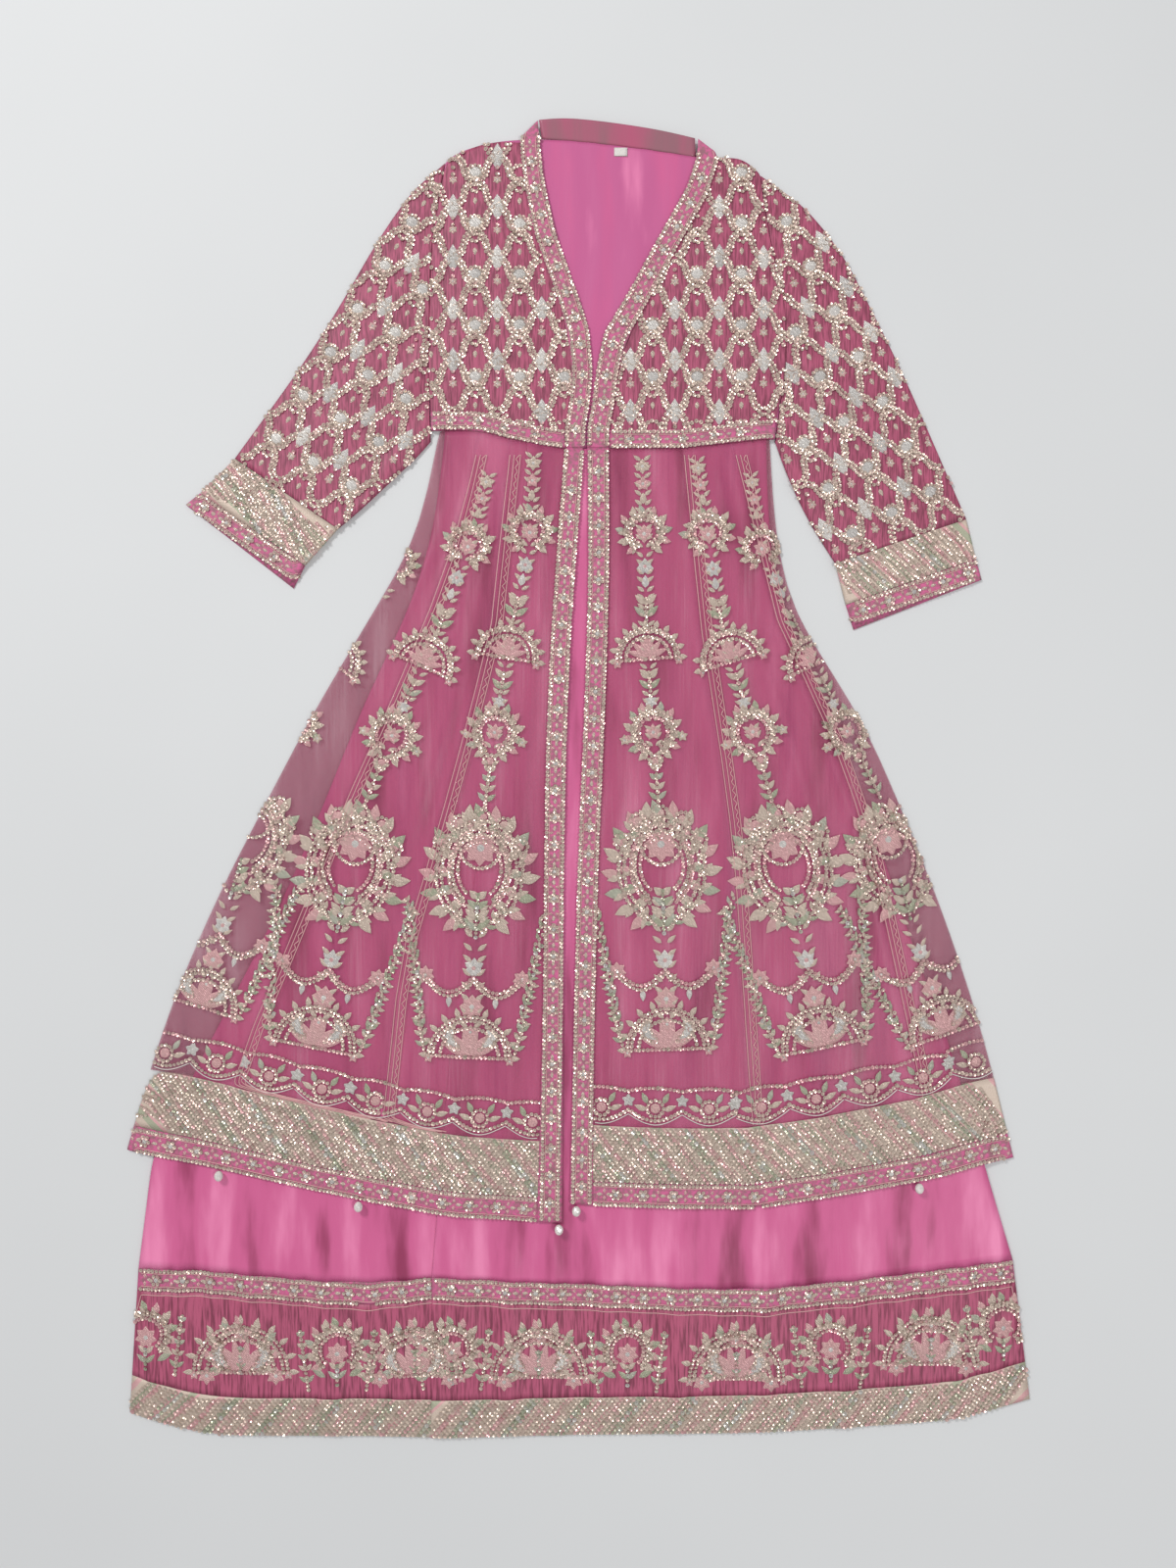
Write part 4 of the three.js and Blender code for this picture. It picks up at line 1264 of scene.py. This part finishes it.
def make_embroidery():
    sequins, cord = sequin_group(), cord_group()
    for seed, (group, lines) in enumerate(sorted(ROWS.items())):
        obj = with_nodes(f"sequins_{group}", lines_mesh(group, lines), sequins, {
            "Spacing": SEQUIN_SPACING, "Radius": SEQUIN_RADIUS, "Seed": seed,
            "Material": MATERIALS["sequin"]})
        settle(obj)
    for group, lines in sorted(CORDS.items()):
        obj = with_nodes(f"cords_{group}", lines_mesh(group, lines), cord, {
            "Radius": CORD_RADIUS, "Material": MATERIALS["thread"]})
        settle(obj)
    for group, pads in sorted(PADS.items()):
        obj = link(f"pads_{group}", pads_mesh(group, pads))
        obj.data.materials.append(MATERIALS["pad"])
        settle(obj)


make_embroidery()


def finish_beads():
    """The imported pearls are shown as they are, with a pearl finish."""
    for i in range(1, 6):
        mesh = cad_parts[f"bead_{i}"].data
        mesh.materials.clear()
        mesh.materials.append(MATERIALS["pearl"])


finish_beads()

# ---- floor, light ----


def make_stage():
    material, tree = new_material("floor")
    shade = stretched_noise(tree, (3, 3, 3), 2)
    node = tree.add("ShaderNodeValToRGB", {0: shade})
    node.color_ramp.elements[0].color = (0.66, 0.67, 0.67, 1)
    node.color_ramp.elements[1].color = (0.70, 0.71, 0.71, 1)
    finish_material(material, tree, {"Base Color": node.outputs["Color"], "Roughness": 0.7})
    bm = bmesh.new()
    bmesh.ops.create_grid(bm, x_segments=8, y_segments=8, size=4.0)
    for vert in bm.verts:
        vert.co.z = -0.2 * MM
    mesh = bpy.data.meshes.new("floor")
    bm.to_mesh(mesh)
    bm.free()
    floor = link("floor", mesh)
    floor.data.materials.append(material)


def make_light(name, place, size, energy, target=(0, 0, 0), colour=(1, 1, 1)):
    data = bpy.data.lights.new(name, "AREA")
    data.shape = "DISK"
    data.size = size
    data.energy = energy
    data.color = colour
    light = bpy.data.objects.new(name, data)
    light.location = place
    direction = Vector(target) - Vector(place)
    light.rotation_euler = direction.to_track_quat("-Z", "Y").to_euler()
    bpy.context.scene.collection.objects.link(light)


def make_world():
    world = bpy.data.worlds.new("world")
    world.use_nodes = True
    background = world.node_tree.nodes["Background"]
    background.inputs["Color"].default_value = (0.98, 0.98, 1.0, 1)
    background.inputs["Strength"].default_value = 0.5
    bpy.context.scene.world = world


make_stage()
make_world()
make_light("window", (-1.9, 2.2, 2.8), 0.9, 74)
make_light("sparkle", (1.3, -0.6, 3.0), 0.5, 26)
bpy.context.scene.view_settings.view_transform = "Standard"
